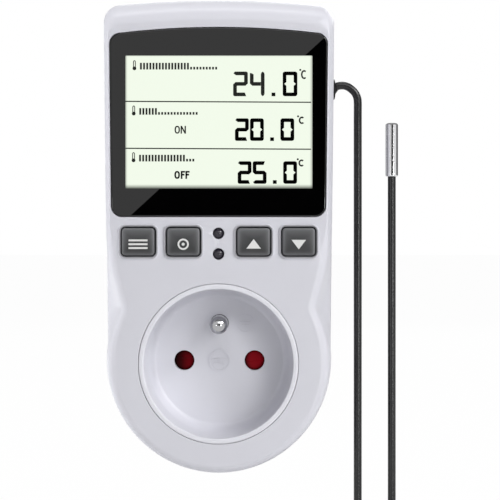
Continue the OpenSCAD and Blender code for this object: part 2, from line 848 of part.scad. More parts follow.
module socket_insert() {
  color([0.84, 0.84, 0.87])
    difference() {
      union() {
        turned()
          polygon([
            [insert_r, 0], [insert_r, face_t], [shoulder_r, face_t], [shoulder_r, face_t + shoulder_t],
            [insert_r, face_t + shoulder_t], [cup_back_r, floor_back_d], [0, floor_back_d], [0, well_d],
            [well_r - well_fillet, well_d], [well_r, well_d - well_fillet], [mouth_r, mouth_bevel],
            [insert_r - mouth_bevel / 4, 0]
          ]);
        mirrored() {
          rod(lug_d, lug_d + lug_t, lug_r, lug_x, 0);
          block(cup_back_r - lug_t / 2, lug_x, lug_d, lug_d + lug_t, -lug_r, lug_r);
        }
        rod(floor_back_d - floor_t / 2, carrier_d, pivot_r);
        for (z = [post_low_z, post_high_z])
          rod(floor_back_d - floor_t / 2, carrier_d, post_r, 0, z);
        rod(well_d - mark_h, well_d + floor_t / 2, side_mark_r, side_mark_x, earth_z);
        difference() {
          rod(well_d - mark_h, well_d + floor_t / 2, mark_r);
          block(-mark_r, mark_r, well_d - overrun, well_d, -mark_slot_w / 2, mark_slot_w / 2);
        }
      }
      mirrored() {
        rod(well_d - overrun, floor_back_d + overrun, contact_hole_r, contact_x, 0);
        rod(lug_d - overrun, lug_d + lug_t + overrun, small_screw_r + fit_gap, lug_x, 0);
      }
      rod(well_d - overrun, floor_back_d + overrun, earth_shoulder_r + pilot_gap, 0, earth_z);
      for (z = [post_low_z, post_high_z])
        rod(floor_back_d - floor_t / 4, carrier_d + overrun, small_screw_r + pilot_gap, 0, z);
    }
}

module insert_screws() {
  color([0.7, 0.7, 0.72])
    mirrored()
      screw(lug_d + lug_t, lug_d - insert_screw_l + pilot_spare, small_screw_r, small_head_r,
        small_head_t, lug_x, 0);
}

ramp_tilt = 18;
leg_slot_w = 0.8;
leg_slot_l = 5.4;
module shutter() {
  color([0.45, 0.02, 0.04])
    difference() {
      union() {
        rod(shutter_d, shutter_back_d, hub_r);
        mirrored()
          rod(shutter_d, shutter_back_d, lobe_r, contact_x, 0);
        block(-contact_x, contact_x, shutter_d, shutter_back_d, -arm_w / 2, arm_w / 2);
      }
      rod(shutter_d - overrun, shutter_back_d + overrun, pivot_r + pivot_gap);
      rod(shutter_back_d - spring_bay_t, shutter_back_d + overrun, spring_bay_r);
      block(0, leg_slot_l, shutter_back_d - spring_bay_t, shutter_back_d + overrun, -leg_slot_w / 2,
        leg_slot_w / 2);
      for (turn = [0, 180])
        rotate([0, turn, 0])
          translate([contact_x, at(shutter_d), 0])
            rotate([ramp_tilt, 0, 0])
              translate([-lobe_r - overrun / 2, -2 * lobe_r, -overrun / 2])
                cube([2 * lobe_r + overrun, 2 * lobe_r, 2 * lobe_r]);
    }
}

// Torsion spring: one leg in the shutter's slot, the other in the carrier
spring_low_d = shutter_back_d - spring_bay_t + spring_wire_r + fit_gap;
spring_rise = 0.45;
spring_steps = 16;
spring_leg_l = 4.9;
anchor_bite = 1;
spring_anchor_r = 0.35;
spring_low_y = at(spring_low_d);
spring_path = concat(
  [[spring_leg_l, spring_low_y, 0], [(spring_leg_l + spring_r) / 2, spring_low_y, 0]],
  [for (i = [1 : spring_turns * spring_steps + spring_steps / 4])
    let (a = 360 * i / spring_steps)
    [spring_r * cos(a), spring_low_y + spring_rise * i / spring_steps, spring_r * sin(a)]]
);
spring_top = spring_path[len(spring_path) - 1];

module shutter_spring() {
  color([0.75, 0.75, 0.78])
    tube(concat(spring_path, [
      [-spring_wire_r, spring_top[1] + 2 * spring_wire_r, spring_top[2]],
      [-spring_wire_r, at(carrier_d + anchor_bite), spring_top[2]]
    ]), spring_wire_r, 6, [0, 0.3, 0.954]);
}

module contact_carrier() {
  color([0.3, 0.3, 0.32])
    difference() {
      union() {
        rod(carrier_d, carrier_back_d, carrier_r);
        mirrored()
          rod(carrier_back_d - carrier_t / 2, housing_back_d, housing_r, contact_x, 0);
      }
      mirrored() {
        rod(carrier_d - overrun, contact_d + overrun, earth_hole_r, contact_x, 0);
        rod(contact_d, housing_back_d + overrun, sleeve_out_r + housing_gap, contact_x, 0);
      }
      rod(carrier_d - overrun, carrier_back_d + overrun, earth_shank_r + fit_gap, 0, earth_z);
      for (z = [post_low_z, post_high_z])
        rod(carrier_d - overrun, carrier_back_d + overrun, small_screw_r + fit_gap, 0, z);
      rod(carrier_d - overrun, carrier_d + anchor_bite + fit_gap, spring_anchor_r, -spring_wire_r,
        spring_r);
    }
}

module carrier_screws() {
  color([0.7, 0.7, 0.72])
    for (z = [post_low_z, post_high_z])
      screw(carrier_back_d, floor_back_d, small_screw_r, small_head_r, small_head_t, 0, z);
}

module sleeve(d0, d1) {
  difference() {
    rod(d0, d1, sleeve_out_r);
    rod(d0 - overrun, d1 + overrun, sleeve_r);
    block(-sleeve_slit / 2, sleeve_slit / 2, d0 - overrun, d1 + overrun, -sleeve_out_r - overrun, 0);
  }
}

module contact() {
  translate([contact_x, 0, 0]) {
    sleeve(contact_d, contact_back_d);
    intersection() {
      difference() {
        rod(contact_back_d - sleeve_t, contact_back_d + tab_l, sleeve_out_r);
        rod(contact_back_d - sleeve_t - overrun, contact_back_d + tab_l + overrun, sleeve_r + sleeve_t / 2);
      }
      block(0, 2 * sleeve_out_r, contact_back_d - sleeve_t, contact_back_d + tab_l, -tab_w / 2, tab_w / 2);
    }
  }
}

module left_contact() {
  color([0.85, 0.7, 0.4])
    mirror([1, 0, 0])
      contact();
}

module right_contact() {
  color([0.85, 0.7, 0.4])
    contact();
}

module socket_earth_pin() {
  dome_d = well_d - earth_l + pin_r;
  color([0.8, 0.8, 0.82])
    translate([0, 0, earth_z]) {
      rod(dome_d, well_d, pin_r);
      translate([0, at(dome_d), 0])
        sphere(r = pin_r);
      rod(well_d, carrier_d, earth_shoulder_r);
      rod(carrier_d - carrier_t / 2, carrier_back_d + strap_t + carrier_t / 4, earth_shank_r);
      rod(carrier_back_d + strap_t, carrier_back_d + 2 * strap_t, rivet_r);
    }
}

module earth_bar() {
  half = strap_w / 2;
  color([0.86, 0.74, 0.45])
    difference() {
      union() {
        block(-foot_w / 2, foot_w / 2, carrier_back_d, carrier_back_d + strap_t, foot_z, strap_z + strap_t);
        block(-half, half, carrier_back_d, strap_end_d, strap_z, strap_z + strap_t);
        block(-half, half, spine_d, spine_d + strap_t, -strap_z - strap_t, strap_z + strap_t / 2);
        block(-half, half, spine_d, strap_end_d, -strap_z - strap_t, -strap_z);
      }
      rod(carrier_back_d - overrun, carrier_back_d + strap_t + overrun / 2, earth_shank_r + pilot_gap,
        0, earth_z);
    }
}

module earth_sleeve() {
  color([0.85, 0.7, 0.4])
    translate([0, 0, earth_z]) {
      sleeve(earth_sleeve_d, plug_inner_d - 2 * fit_gap);
      block(-tab_w / 2, tab_w / 2, earth_sleeve_d, earth_sleeve_d + tab_l, sleeve_out_r - sleeve_t / 2,
        strap_z - earth_z);
    }
}

function clip_riser_d() = spine_d + clip_back_gap;
module earth_clip() {
  riser_d = clip_riser_d();
  end_d = face_end_d - clip_back_gap;
  color([0.8, 0.8, 0.82])
    translate([-clip_w / 2, 0, 0]) {
      block(0, clip_w, riser_d, strap_end_d, strap_z + strap_t, strap_z + 2 * strap_t);
      block(0, clip_w, riser_d, riser_d + strap_t, strap_z + strap_t, clip_z + strap_t);
      rotate([90, 0, 90])
        linear_extrude(clip_w)
          polygon(concat(
            [for (i = [0 : 8]) let (d = riser_d + (end_d - riser_d) * i / 8)
              [at(d), clip_z + clip_arch * sin(180 * i / 8)]],
            [for (i = [8 : -1 : 0]) let (d = riser_d + (end_d - riser_d) * i / 8)
              [at(d), clip_z + strap_t + clip_arch * sin(180 * i / 8)]]
          ));
    }
}

module upper_earth_clip() { earth_clip(); }

module lower_earth_clip() {
  mirror([0, 0, 1])
    earth_clip();
}

// Plug

module plug_pin() {
  color([0.8, 0.8, 0.82])
    translate([contact_x, 0, 0]) {
      rod(face_end_d, face_end_d + pin_l - pin_r, pin_r);
      translate([0, at(face_end_d + pin_l - pin_r), 0])
        sphere(r = pin_r);
      rod(plug_inner_d - pin_flange_t / 2, face_end_d, pin_shoulder_r);
      rod(plug_inner_d - pin_flange_t, plug_inner_d, pin_flange_r);
      rod(face_end_d - pin_inner_l, plug_inner_d, pin_r);
      rod(pin_tail_d, face_end_d - pin_inner_l + pin_tail_r, pin_tail_r);
    }
}

module left_plug_pin() {
  mirror([1, 0, 0])
    plug_pin();
}

module right_plug_pin() { plug_pin(); }

retainer_back_d = plug_inner_d - pin_flange_t;
retainer_d = retainer_back_d - retainer_t;
module pin_retainer() {
  color([0.85, 0.83, 0.75])
    difference() {
      rod(retainer_d, retainer_back_d, retainer_r);
      mirrored() {
        rod(retainer_d - overrun, retainer_back_d + overrun, pin_shoulder_r, contact_x, 0);
        rod(retainer_d - overrun, retainer_back_d + overrun, small_screw_r + fit_gap,
          retainer_screw[0], retainer_screw[1]);
      }
      rod(retainer_d - overrun, retainer_back_d + overrun, sleeve_out_r + 2 * fit_gap, 0, earth_z);
      block(-sleeve_out_r - 2 * fit_gap, sleeve_out_r + 2 * fit_gap, retainer_d - overrun,
        retainer_back_d + overrun,
        earth_z, retainer_r + overrun);
    }
}

module retainer_screws() {
  color([0.7, 0.7, 0.72])
    mirrored()
      translate([0, 2 * at(retainer_d), 0])
        mirror([0, 1, 0])
          screw(retainer_d, retainer_d - retainer_t - pin_flange_t - retainer_bite + pilot_spare / 2,
            small_screw_r,
            small_head_r, small_head_t, retainer_screw[0], retainer_screw[1]);
}

// Power board

module power_board() {
  color([0.1, 0.35, 0.18])
    difference() {
      block(-power_half_w, power_half_w, power_d, power_back_d, power_low_z, power_high_z);
      mirrored()
        for (z = [power_post[1], power_high_post_z])
          rod(power_d - overrun, power_back_d + overrun, small_screw_r + fit_gap, power_post[0], z);
    }
}

module power_screws() {
  color([0.7, 0.7, 0.72])
    mirrored()
      for (z = [power_post[1], power_high_post_z])
        translate([0, 2 * at(power_d), 0])
          mirror([0, 1, 0])
            screw(power_d, power_d - power_screw_l + pilot_spare, small_screw_r, small_head_r,
              small_head_t, power_post[0], z);
}

relay_size = [29, 15.7, 12.7];
relay_at = [-16, 59];
module relay() {
  color([0.2, 0.35, 0.6])
    block(relay_at[0], relay_at[0] + relay_size[0], power_d - relay_size[1], power_d, relay_at[1],
      relay_at[1] + relay_size[2]);
}

supply_size = [18, 13.5, 8];
supply_at = [-22, 47.5];
module supply_capacitor() {
  color([0.85, 0.75, 0.25])
    block(supply_at[0], supply_at[0] + supply_size[0], power_d - supply_size[1], power_d, supply_at[1],
      supply_at[1] + supply_size[2]);
}

large_can = [5, 12.5];
small_can = [4, 11];
large_can_at = [16, 50];
small_can_at = [4, 51];
module electrolytic_capacitors() {
  color([0.15, 0.2, 0.35]) {
    rod(power_d - large_can[1], power_d, large_can[0], large_can_at[0], large_can_at[1]);
    rod(power_d - small_can[1], power_d, small_can[0], small_can_at[0], small_can_at[1]);
  }
}

varistor_r = 5;
varistor_t = 4;
varistor_at = [-17, 39];
varistor_lift = 1.5;
lead_r = 0.4;
lead_x = 2.5;
module varistor() {
  color([0.15, 0.3, 0.6])
    translate([varistor_at[0], 0, varistor_at[1]]) {
      translate([0, at(power_d - varistor_lift - varistor_r), -varistor_t / 2])
        cylinder(h = varistor_t, r = varistor_r);
      mirrored()
        rod(power_d - varistor_lift - varistor_r, power_d, lead_r, lead_x, 0);
    }
}

fuse_r = 2.6;
fuse_l = 12;
cap_l = 2.6;
fuse_glass_r = 2.3;
fuse_at = [-6, 37];
module fuse() {
  color([0.8, 0.8, 0.78])
    translate([fuse_at[0], at(power_d - fuse_r), fuse_at[1]])
      rotate([0, 90, 0]) {
        cylinder(h = fuse_l, r = fuse_glass_r);
        cylinder(h = cap_l, r = fuse_r);
        translate([0, 0, fuse_l - cap_l])
          cylinder(h = cap_l, r = fuse_r);
      }
}

resistor_r = 1.6;
resistor_l = 9;
resistor_x = 11;
resistor_zs = [33, 37.5, 42];
module power_resistors() {
  color([0.35, 0.45, 0.55])
    for (z = resistor_zs)
      translate([resistor_x, at(power_d - resistor_r), z])
        rotate([0, 90, 0])
          cylinder(h = resistor_l, r = resistor_r);
}

// Wires inside the casing: x and z with the depth between them. The middle points are shares of the
// contacts' distance, the body's depth and the bottom's radius.
wire_r = 1.3;
wire_sides = 10;
wire_steps = 4;
tab_x = contact_x + sleeve_out_r - sleeve_t / 2;
tab_mid_d = contact_back_d + tab_l - wire_r;
function to_frame(route) = [for (p = route) [p[0], at(p[1]), p[2]]];
function inside(shares) = [for (s = shares) [s[0] * contact_x, s[1] * body_d, s[2] * low_r]];
function landing(shares) =
  let (s = shares[len(shares) - 1])
  [s[0] * contact_x, power_d, s[2] * low_r];

module wire(route, shade) {
  color(shade)
    tube(smooth(to_frame(route), wire_steps), wire_r, wire_sides, [1, 0, 0.02]);
}

live_shares = [
  [-1, 1.147, 0], [-1.01, 1.076, 0.08], [-1.03, 1.005, 0.213], [-1.04, 0.932, 0.353],
  [-1.05, 0.879, 0.5], [-1.05, 0.826, 0.647], [-1.05, 0.758, 0.753], [-1.05, 0.705, 0.853],
  [-1.05, 0.726, 0.967], [-1.05, 0.784, 1.013]
];
module live_wire() {
  wire(concat(
    [[-contact_x, pin_tail_d, 0]], inside(live_shares), [landing(live_shares)]
  ), [0.45, 0.25, 0.12]);
}

load_shares = [
  [-1.316, 0.932, 0.2], [-1.432, 0.889, 0.367], [-1.537, 0.858, 0.513], [-1.6, 0.816, 0.647],
  [-1.62, 0.753, 0.753], [-1.62, 0.705, 0.853], [-1.62, 0.726, 0.967], [-1.62, 0.784, 1.013]
];
module load_wire() {
  wire(concat(
    [[-tab_x, tab_mid_d, tab_w / 2], [-tab_x, tab_mid_d, tab_w]], inside(load_shares),
    [landing(load_shares)]
  ), [0.7, 0.1, 0.1]);
}

neutral_shares = [[1, 1.155, 0], [1.074, 1.111, 0], [1.2, 1.063, 0]];
module neutral_wire() {
  wire(concat(
    [[contact_x, pin_tail_d, 0]], inside(neutral_shares),
    [[tab_x, contact_back_d + tab_l + wire_r, 0], [tab_x, contact_back_d + tab_l, 0]]
  ), [0.15, 0.3, 0.7]);
}

feed_shares = [
  [1.316, 0.932, 0.2], [1.432, 0.889, 0.367], [1.537, 0.858, 0.513], [1.537, 0.816, 0.647],
  [1.474, 0.753, 0.753], [1.411, 0.705, 0.853], [1.39, 0.721, 0.933], [1.39, 0.784, 0.953]
];
module feed_wire() {
  wire(concat(
    [[tab_x, tab_mid_d, tab_w / 2], [tab_x, tab_mid_d, tab_w]], inside(feed_shares),
    [landing(feed_shares)]
  ), [0.15, 0.3, 0.7]);
}

connector_size = [7, 6, 6];
connector_at = [17.5, 64];
module sensor_connector() {
  color([0.92, 0.92, 0.88])
    block(connector_at[0], connector_at[0] + connector_size[0], power_d - connector_size[1], power_d,
      connector_at[1], connector_at[1] + connector_size[2]);
}

outlet_x = straight_x(outlet_z, outlet_d, 0);
inner_outlet_x = outlet_x - wall - inner_flange_t - seat_gap;
lead_shares = [
  [0.17, 0, 0], [0.496, 0.036, 0.09], [0.793, 0.179, 0.433], [0.97, 0.43, 0.79], [1, 0.714, 1]
];
module sensor_lead() {
  from = [inner_outlet_x, outlet_d, outlet_z];
  to = [
    connector_at[0] + connector_size[0] / 2, power_d - connector_size[1],
    connector_at[1] + connector_size[2] / 2
  ];
  color([0.12, 0.12, 0.13])
    tube(smooth(to_frame(concat([from], [
      for (s = lead_shares)
        [for (i = [0 : 2]) from[i] + s[i] * (to[i] - from[i])]
    ], [to])), wire_steps), cord_r, tube_sides, [0.05, 0.3, 1]);
}

module case_screws() {
  color([0.6, 0.6, 0.62])
    mirrored()
      for (p = case_points)
        screw(screw_seat_d, screw_end_d, screw_r, screw_head_r, screw_head_t, p[0], p[1]);
}

// Probe cable

nose_end_r = 1.25;
nose_l = 0.5;
nose_low_r = 1.6;
nose_out = 0.155;
nose_rise = 0.6325;
module cable_grommet() {
  dir = unit(upper_route[1] - upper_route[0]);
  tilt = atan2(dir[2], dir[0]);
  color([0.08, 0.08, 0.09]) {
    translate([0, at(outlet_d), outlet_z])
      rotate([0, 90, 0]) {
        translate([0, 0, outlet_x + seat_gap])
          cylinder(h = flange_dome / 2, r = grommet_r);
        translate([0, 0, outlet_x + seat_gap + flange_dome / 2])
          cylinder(h = flange_dome / 2, r1 = grommet_r, r2 = nose_low_r);
        translate([0, 0, inner_outlet_x + inner_flange_t / 2])
          cylinder(h = wall + inner_flange_t / 2 + flange_dome / 4, r = neck_r);
        translate([0, 0, inner_outlet_x])
          cylinder(h = inner_flange_t, r = inner_flange_r);
      }
    translate([outlet_x + seat_gap + flange_dome + nose_out, at(outlet_d), outlet_z + nose_rise])
      rotate([0, 90 - tilt, 0])
        cylinder(h = nose_l, r1 = nose_low_r - seat_gap, r2 = nose_end_r);
  }
}

module probe_cable() {
  color([0.08, 0.08, 0.09])
    tube(upper_route, cord_r, tube_sides, [0.05, 1, 0.02]);
}

module probe_cable_end() {
  color([0.08, 0.08, 0.09])
    tube(lower_route, cord_r, tube_sides, [1, 0.05, 0.02]);
}

// The coil's centreline: spirals in and out, four layers high, clockwise seen from above
layer_turns = coil_turns / coil_layers;
coil_count = coil_turns * coil_rings;
function coil_r(t) =
  let (phase = t / layer_turns, k = floor(phase), f = phase - k)
  k % 2 == 0 ? coil_out_r - (coil_out_r - coil_in_r) * f : coil_in_r + (coil_out_r - coil_in_r) * f;
function climb(t) =
  let (phase = t / layer_turns, k = round(phase), away = (phase - k) * layer_turns, u = max(-1, min(1,
    4 * away)))
  k == 0 || k == coil_layers ? 0 : (u * (3 - u * u) / 2) / 2 + 0.5;
function coil_layer(t) =
  let (phase = t / layer_turns, k = round(phase))
  k == 0 ? 0 : k == coil_layers ? coil_layers - 1 : k - 1 + climb(t);
function coil_point(t) =
  let (a = -90 - 360 * t)
  [coil_x + coil_r(t) * cos(a), coil_y + coil_r(t) * sin(a), coil_low_z + coil_pitch * coil_layer(t)];
coil_line = concat(
  [[coil_x + cord_d, coil_y - coil_out_r, coil_low_z]],
  [for (i = [0 : coil_count]) coil_point(i / coil_rings)],
  [[coil_x + coil_out_r, coil_y - cord_d, coil_low_z + coil_pitch * (coil_layers - 1)]]
);
coil_gap = min([for (i = [0 : len(coil_line) - 1]) for (k = [i + coil_rings / 2 : 1 : len(coil_line) - 1])
  norm(coil_line[i] - coil_line[k])]) - cord_d;
coil_length = [for (i = 0,
  s = 0; i < len(coil_line) - 1; s = s + norm(coil_line[i + 1] - coil_line[i]), i = i + 1) s];

module probe_coil() {
  color([0.08, 0.08, 0.09])
    tube(coil_line, cord_r, coil_sides, [0, 0.02, 1]);
}

tie_w = 4;
tie_t = 0.6;
tie_gap = 0.2;
tie_in = 5.5;
tie_tail = 5;
module coil_tie() {
  low = coil_low_z - cord_r - tie_gap;
  high = coil_low_z + coil_pitch * (coil_layers - 1) + cord_r + tie_gap;
  outer = coil_out_r + cord_r + tie_gap;
  color([0.1, 0.1, 0.11])
    translate([coil_x, coil_y, 0])
      rotate([90, 0, 0])
        translate([0, 0, -tie_w / 2])
          linear_extrude(tie_w)
            difference() {
              union() {
                translate([-outer - tie_t, low - tie_t])
                  square([outer - tie_in + 2 * tie_t, high - low + 2 * tie_t]);
                translate([-outer - tie_tail, high - tie_t])
                  square([tie_tail, tie_t]);
              }
              translate([-outer, low])
                square([outer - tie_in, high - low]);
            }
}

probe_wall = 0.25;
module probe_sleeve() {
  foot = lower_route[len(lower_route) - 1];
  bevel = probe_wall;
  color([0.78, 0.78, 0.8])
    translate(foot)
      rotate_extrude($fn = fine)
        polygon([
          [0, 0], [probe_d / 2 - bevel, 0], [probe_d / 2, bevel], [probe_d / 2, probe_l - 2 * bevel],
          [probe_d / 2 - 2 * bevel, probe_l], [0, probe_l]
        ]);
}

echo(coil_gap = coil_gap, coil_length = coil_length[len(coil_length) - 1]);

front_cover();
back_cover();
display_window();
lcd_glass();
backlight_holder();
light_guide();
zebra_strips();
display_board();
controller_chip();
board_link();
mode_button();
set_button();
up_button();
down_button();
mode_plunger();
set_plunger();
up_plunger();
down_plunger();
tact_switches();
upper_lamp();
lower_lamp();
display_screws();
socket_insert();
shutter();
shutter_spring();
contact_carrier();
carrier_screws();
insert_screws();
left_contact();
right_contact();
socket_earth_pin();
earth_bar();
earth_sleeve();
upper_earth_clip();
lower_earth_clip();
left_plug_pin();
right_plug_pin();
pin_retainer();
retainer_screws();
power_board();
power_screws();
relay();
supply_capacitor();
electrolytic_capacitors();
varistor();
fuse();
power_resistors();
live_wire();
load_wire();
neutral_wire();
feed_wire();
sensor_connector();
sensor_lead();
case_screws();
cable_grommet();
probe_cable();
probe_coil();
probe_cable_end();
coil_tie();
probe_sleeve();
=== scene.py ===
"""The look of a plug in temperature controller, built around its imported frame.
Shapes are worked out in millimetres and become metres when their mesh is made."""
import json
from math import atan2, copysign, cos, floor, hypot, radians, sin, sqrt, tau

import bmesh
import bpy
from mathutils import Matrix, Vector
from mathutils.geometry import delaunay_2d_cdt


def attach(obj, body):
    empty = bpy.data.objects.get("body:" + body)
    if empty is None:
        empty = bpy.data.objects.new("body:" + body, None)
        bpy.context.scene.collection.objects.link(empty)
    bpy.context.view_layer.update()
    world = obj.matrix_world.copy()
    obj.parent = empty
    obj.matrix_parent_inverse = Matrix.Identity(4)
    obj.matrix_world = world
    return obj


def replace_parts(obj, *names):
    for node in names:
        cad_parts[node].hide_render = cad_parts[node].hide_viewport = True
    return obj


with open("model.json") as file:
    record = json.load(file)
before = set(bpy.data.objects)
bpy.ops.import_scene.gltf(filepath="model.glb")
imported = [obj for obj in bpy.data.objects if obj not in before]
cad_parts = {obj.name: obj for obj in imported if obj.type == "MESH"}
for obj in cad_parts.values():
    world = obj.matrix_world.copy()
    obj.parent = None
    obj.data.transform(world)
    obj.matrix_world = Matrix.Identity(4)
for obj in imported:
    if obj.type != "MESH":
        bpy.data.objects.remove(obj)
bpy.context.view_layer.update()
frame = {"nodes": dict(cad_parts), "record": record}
MM = 0.001
scene = bpy.context.scene

# Sizes of the part, in millimetres. D is a depth behind the front face, R a radius, W a width,
# H a height, and X, Y and Z are places in the shared frame.
FRONT_Y = -55.5
BODY_D, SPLIT_D, PLUG_END_D = 38.0, 25.0, 55.5
SCOOP_D, BACK_EDGE_R, BACK_DRAFT, BACK_ROUND = 14.0, 3.0, 0.3, 0.8
LOW_R, FACE_LOW_R, LOW_RISE = 30.0, 28.4, 0.8
TOP_HALF_W, SIDE_DRAW, TOP_Z, TOP_DRAW = 30.9, 1.8, 96.8, 5.1
TOP_CORNER_R, FACE_CORNER_R, TOP_ARCH_R = 4.8, 3.0, 250.0
SCOOP_SLOPE, SCOOP_TOP_Z, SCOOP_SOFT, WAIST_SOFT = 0.29, 27.0, 5.0, 1.0
WALL, FACE_T, LIP_IN, LIP_D = 2.0, 2.4, 1.1, 1.5
WINDOW_Z, LIT_X, LIT_Z, LIT_W, LIT_H = 62.6, 0.12, 63.3, 48.9, 34.8
BUTTON_Z, CAP_W, CAP_H, CAP_R, CAP_GAP, BEAD_W = 32.0, 8.7, 7.3, 1.0, 0.25, 0.7
BUTTONS = {"mode": -21.0, "set": -9.2, "up": 9.2, "down": 21.0}
LAMPS = {"upper": 34.2, "lower": 28.8}
CONTACT_X, EARTH_Z, WELL_D = 9.5, 10.0, 15.0
WINDOW_SEAT_D, SOCKET_R = 1.4, 21.05
PLUG_R, PLUG_BORE_R, PIN_R = 18.5, 16.5, 2.4
SCREWS = ((25, 88), (-25, 88), (22, -12), (-22, -12))
CORD_R, CORD_Y, PROBE_X = 1.1, -35.5, 47


def at(d):
    """The Y of a depth."""
    return FRONT_Y + d


def add_object(name, data):
    o = bpy.data.objects.new(name, data)
    scene.collection.objects.link(o)
    return o


# Camera at the photograph's place
CAMERA_X, CAMERA_Y, CAMERA_Z = 8.25, -505.5, 29.84
PHOTO_SCALE = 3.81  # pixels to a millimetre at the front face
camera_data = bpy.data.cameras.new("camera")
camera_data.lens = 123.8
camera_data.sensor_width = 36.0
camera_data.clip_start = 0.01
camera_data.clip_end = 100
camera = add_object("camera", camera_data)
camera.location = (CAMERA_X * MM, CAMERA_Y * MM, CAMERA_Z * MM)
camera.rotation_euler = (radians(90), 0, 0)
scene.camera = camera


# Materials
MIX_A, MIX_B, MIX_RESULT = 6, 7, 2  # places of the colour sockets in a Mix node


def add_node(tree, kind, **values):
    """A new node with some of its inputs set."""
    node = tree.nodes.new("ShaderNode" + kind)
    set_inputs(node, values)
    return node


def set_inputs(node, values):
    for key, value in values.items():
        node.inputs[key.replace("_", " ")].default_value = value


def math_node(tree, operation, a, b=None):
    """The result of a sum, in which a and b are numbers or outputs of other nodes."""
    node = add_node(tree, "Math")
    node.operation = operation
    for k, value in enumerate((a, b)):
        if isinstance(value, float):
            node.inputs[k].default_value = value
        elif value is not None:
            tree.links.new(value, node.inputs[k])
    return node.outputs["Value"]


def map_range(tree, value, low, high, to_low=0.0, to_high=1.0):
    node = add_node(tree, "MapRange", From_Min=low, From_Max=high, To_Min=to_low, To_Max=to_high)
    tree.links.new(value, node.inputs["Value"])
    return node.outputs["Result"]


def mix_node(tree):
    node = add_node(tree, "Mix")
    node.data_type = "RGBA"
    return node


def multiply_base(m, colour):
    """Multiplies a material's base colour by the output of a node."""
    tree = m.node_tree
    base = tree.nodes["Principled BSDF"].inputs["Base Color"]
    mix = mix_node(tree)
    mix.blend_type = "MULTIPLY"
    mix.inputs["Factor"].default_value = 1.0
    tree.links.new(base.links[0].from_socket, mix.inputs[MIX_A])
    tree.links.new(colour, mix.inputs[MIX_B])
    tree.links.new(mix.outputs[MIX_RESULT], base)


def place_of(tree):
    """X, Y and Z on the object, as outputs by name."""
    split = add_node(tree, "SeparateXYZ")
    tree.links.new(add_node(tree, "TexCoord").outputs["Object"], split.inputs["Vector"])
    return split.outputs


def surface(name, base, roughness, shade=0.03, grain=2500, relief=0.01, rough_swing=0.06,
            **sockets):
    """A principled material with a faint change of tone, a change of gloss and a fine relief."""
    m = bpy.data.materials.new(name)
    m.use_nodes = True
    tree = m.node_tree
    shader = tree.nodes["Principled BSDF"]
    place = add_node(tree, "TexCoord")
    tone = add_node(tree, "TexNoise", Scale=60.0, Detail=3.0)
    ramp = add_node(tree, "ValToRGB")
    for element, at_tone, k in zip(ramp.color_ramp.elements, (0.3, 0.7), (1 - shade, 1 + shade)):
        element.position = at_tone
        element.color = (*[min(1.0, c * k) for c in base], 1)
    fine = add_node(tree, "TexNoise", Scale=grain, Detail=2.0)
    gloss = map_range(tree, fine.outputs["Fac"], 0.0, 1.0, max(0.0, roughness - rough_swing),
                      min(1.0, roughness + rough_swing))
    bump = add_node(tree, "Bump", Strength=0.5, Distance=relief * MM)
    for output, target in ((place.outputs["Object"], tone.inputs["Vector"]),
                           (place.outputs["Object"], fine.inputs["Vector"]),
                           (tone.outputs["Fac"], ramp.inputs["Fac"]),
                           (ramp.outputs["Color"], shader.inputs["Base Color"]),
                           (gloss, shader.inputs["Roughness"]),
                           (fine.outputs["Fac"], bump.inputs["Height"]),
                           (bump.outputs["Normal"], shader.inputs["Normal"])):
        tree.links.new(output, target)
    set_inputs(shader, sockets)
    return m


def tinted(m, attribute, low, high):
    """Multiplies the base colour by a grey between low and high, from a value on the mesh."""
    tree = m.node_tree
    painted = add_node(tree, "Attribute")
    painted.attribute_name = attribute
    ramp = add_node(tree, "ValToRGB")
    for element, k in zip(ramp.color_ramp.elements, (low, high)):
        element.color = (k, k, k, 1)
    tree.links.new(painted.outputs["Fac"], ramp.inputs["Fac"])
    multiply_base(m, ramp.outputs["Color"])


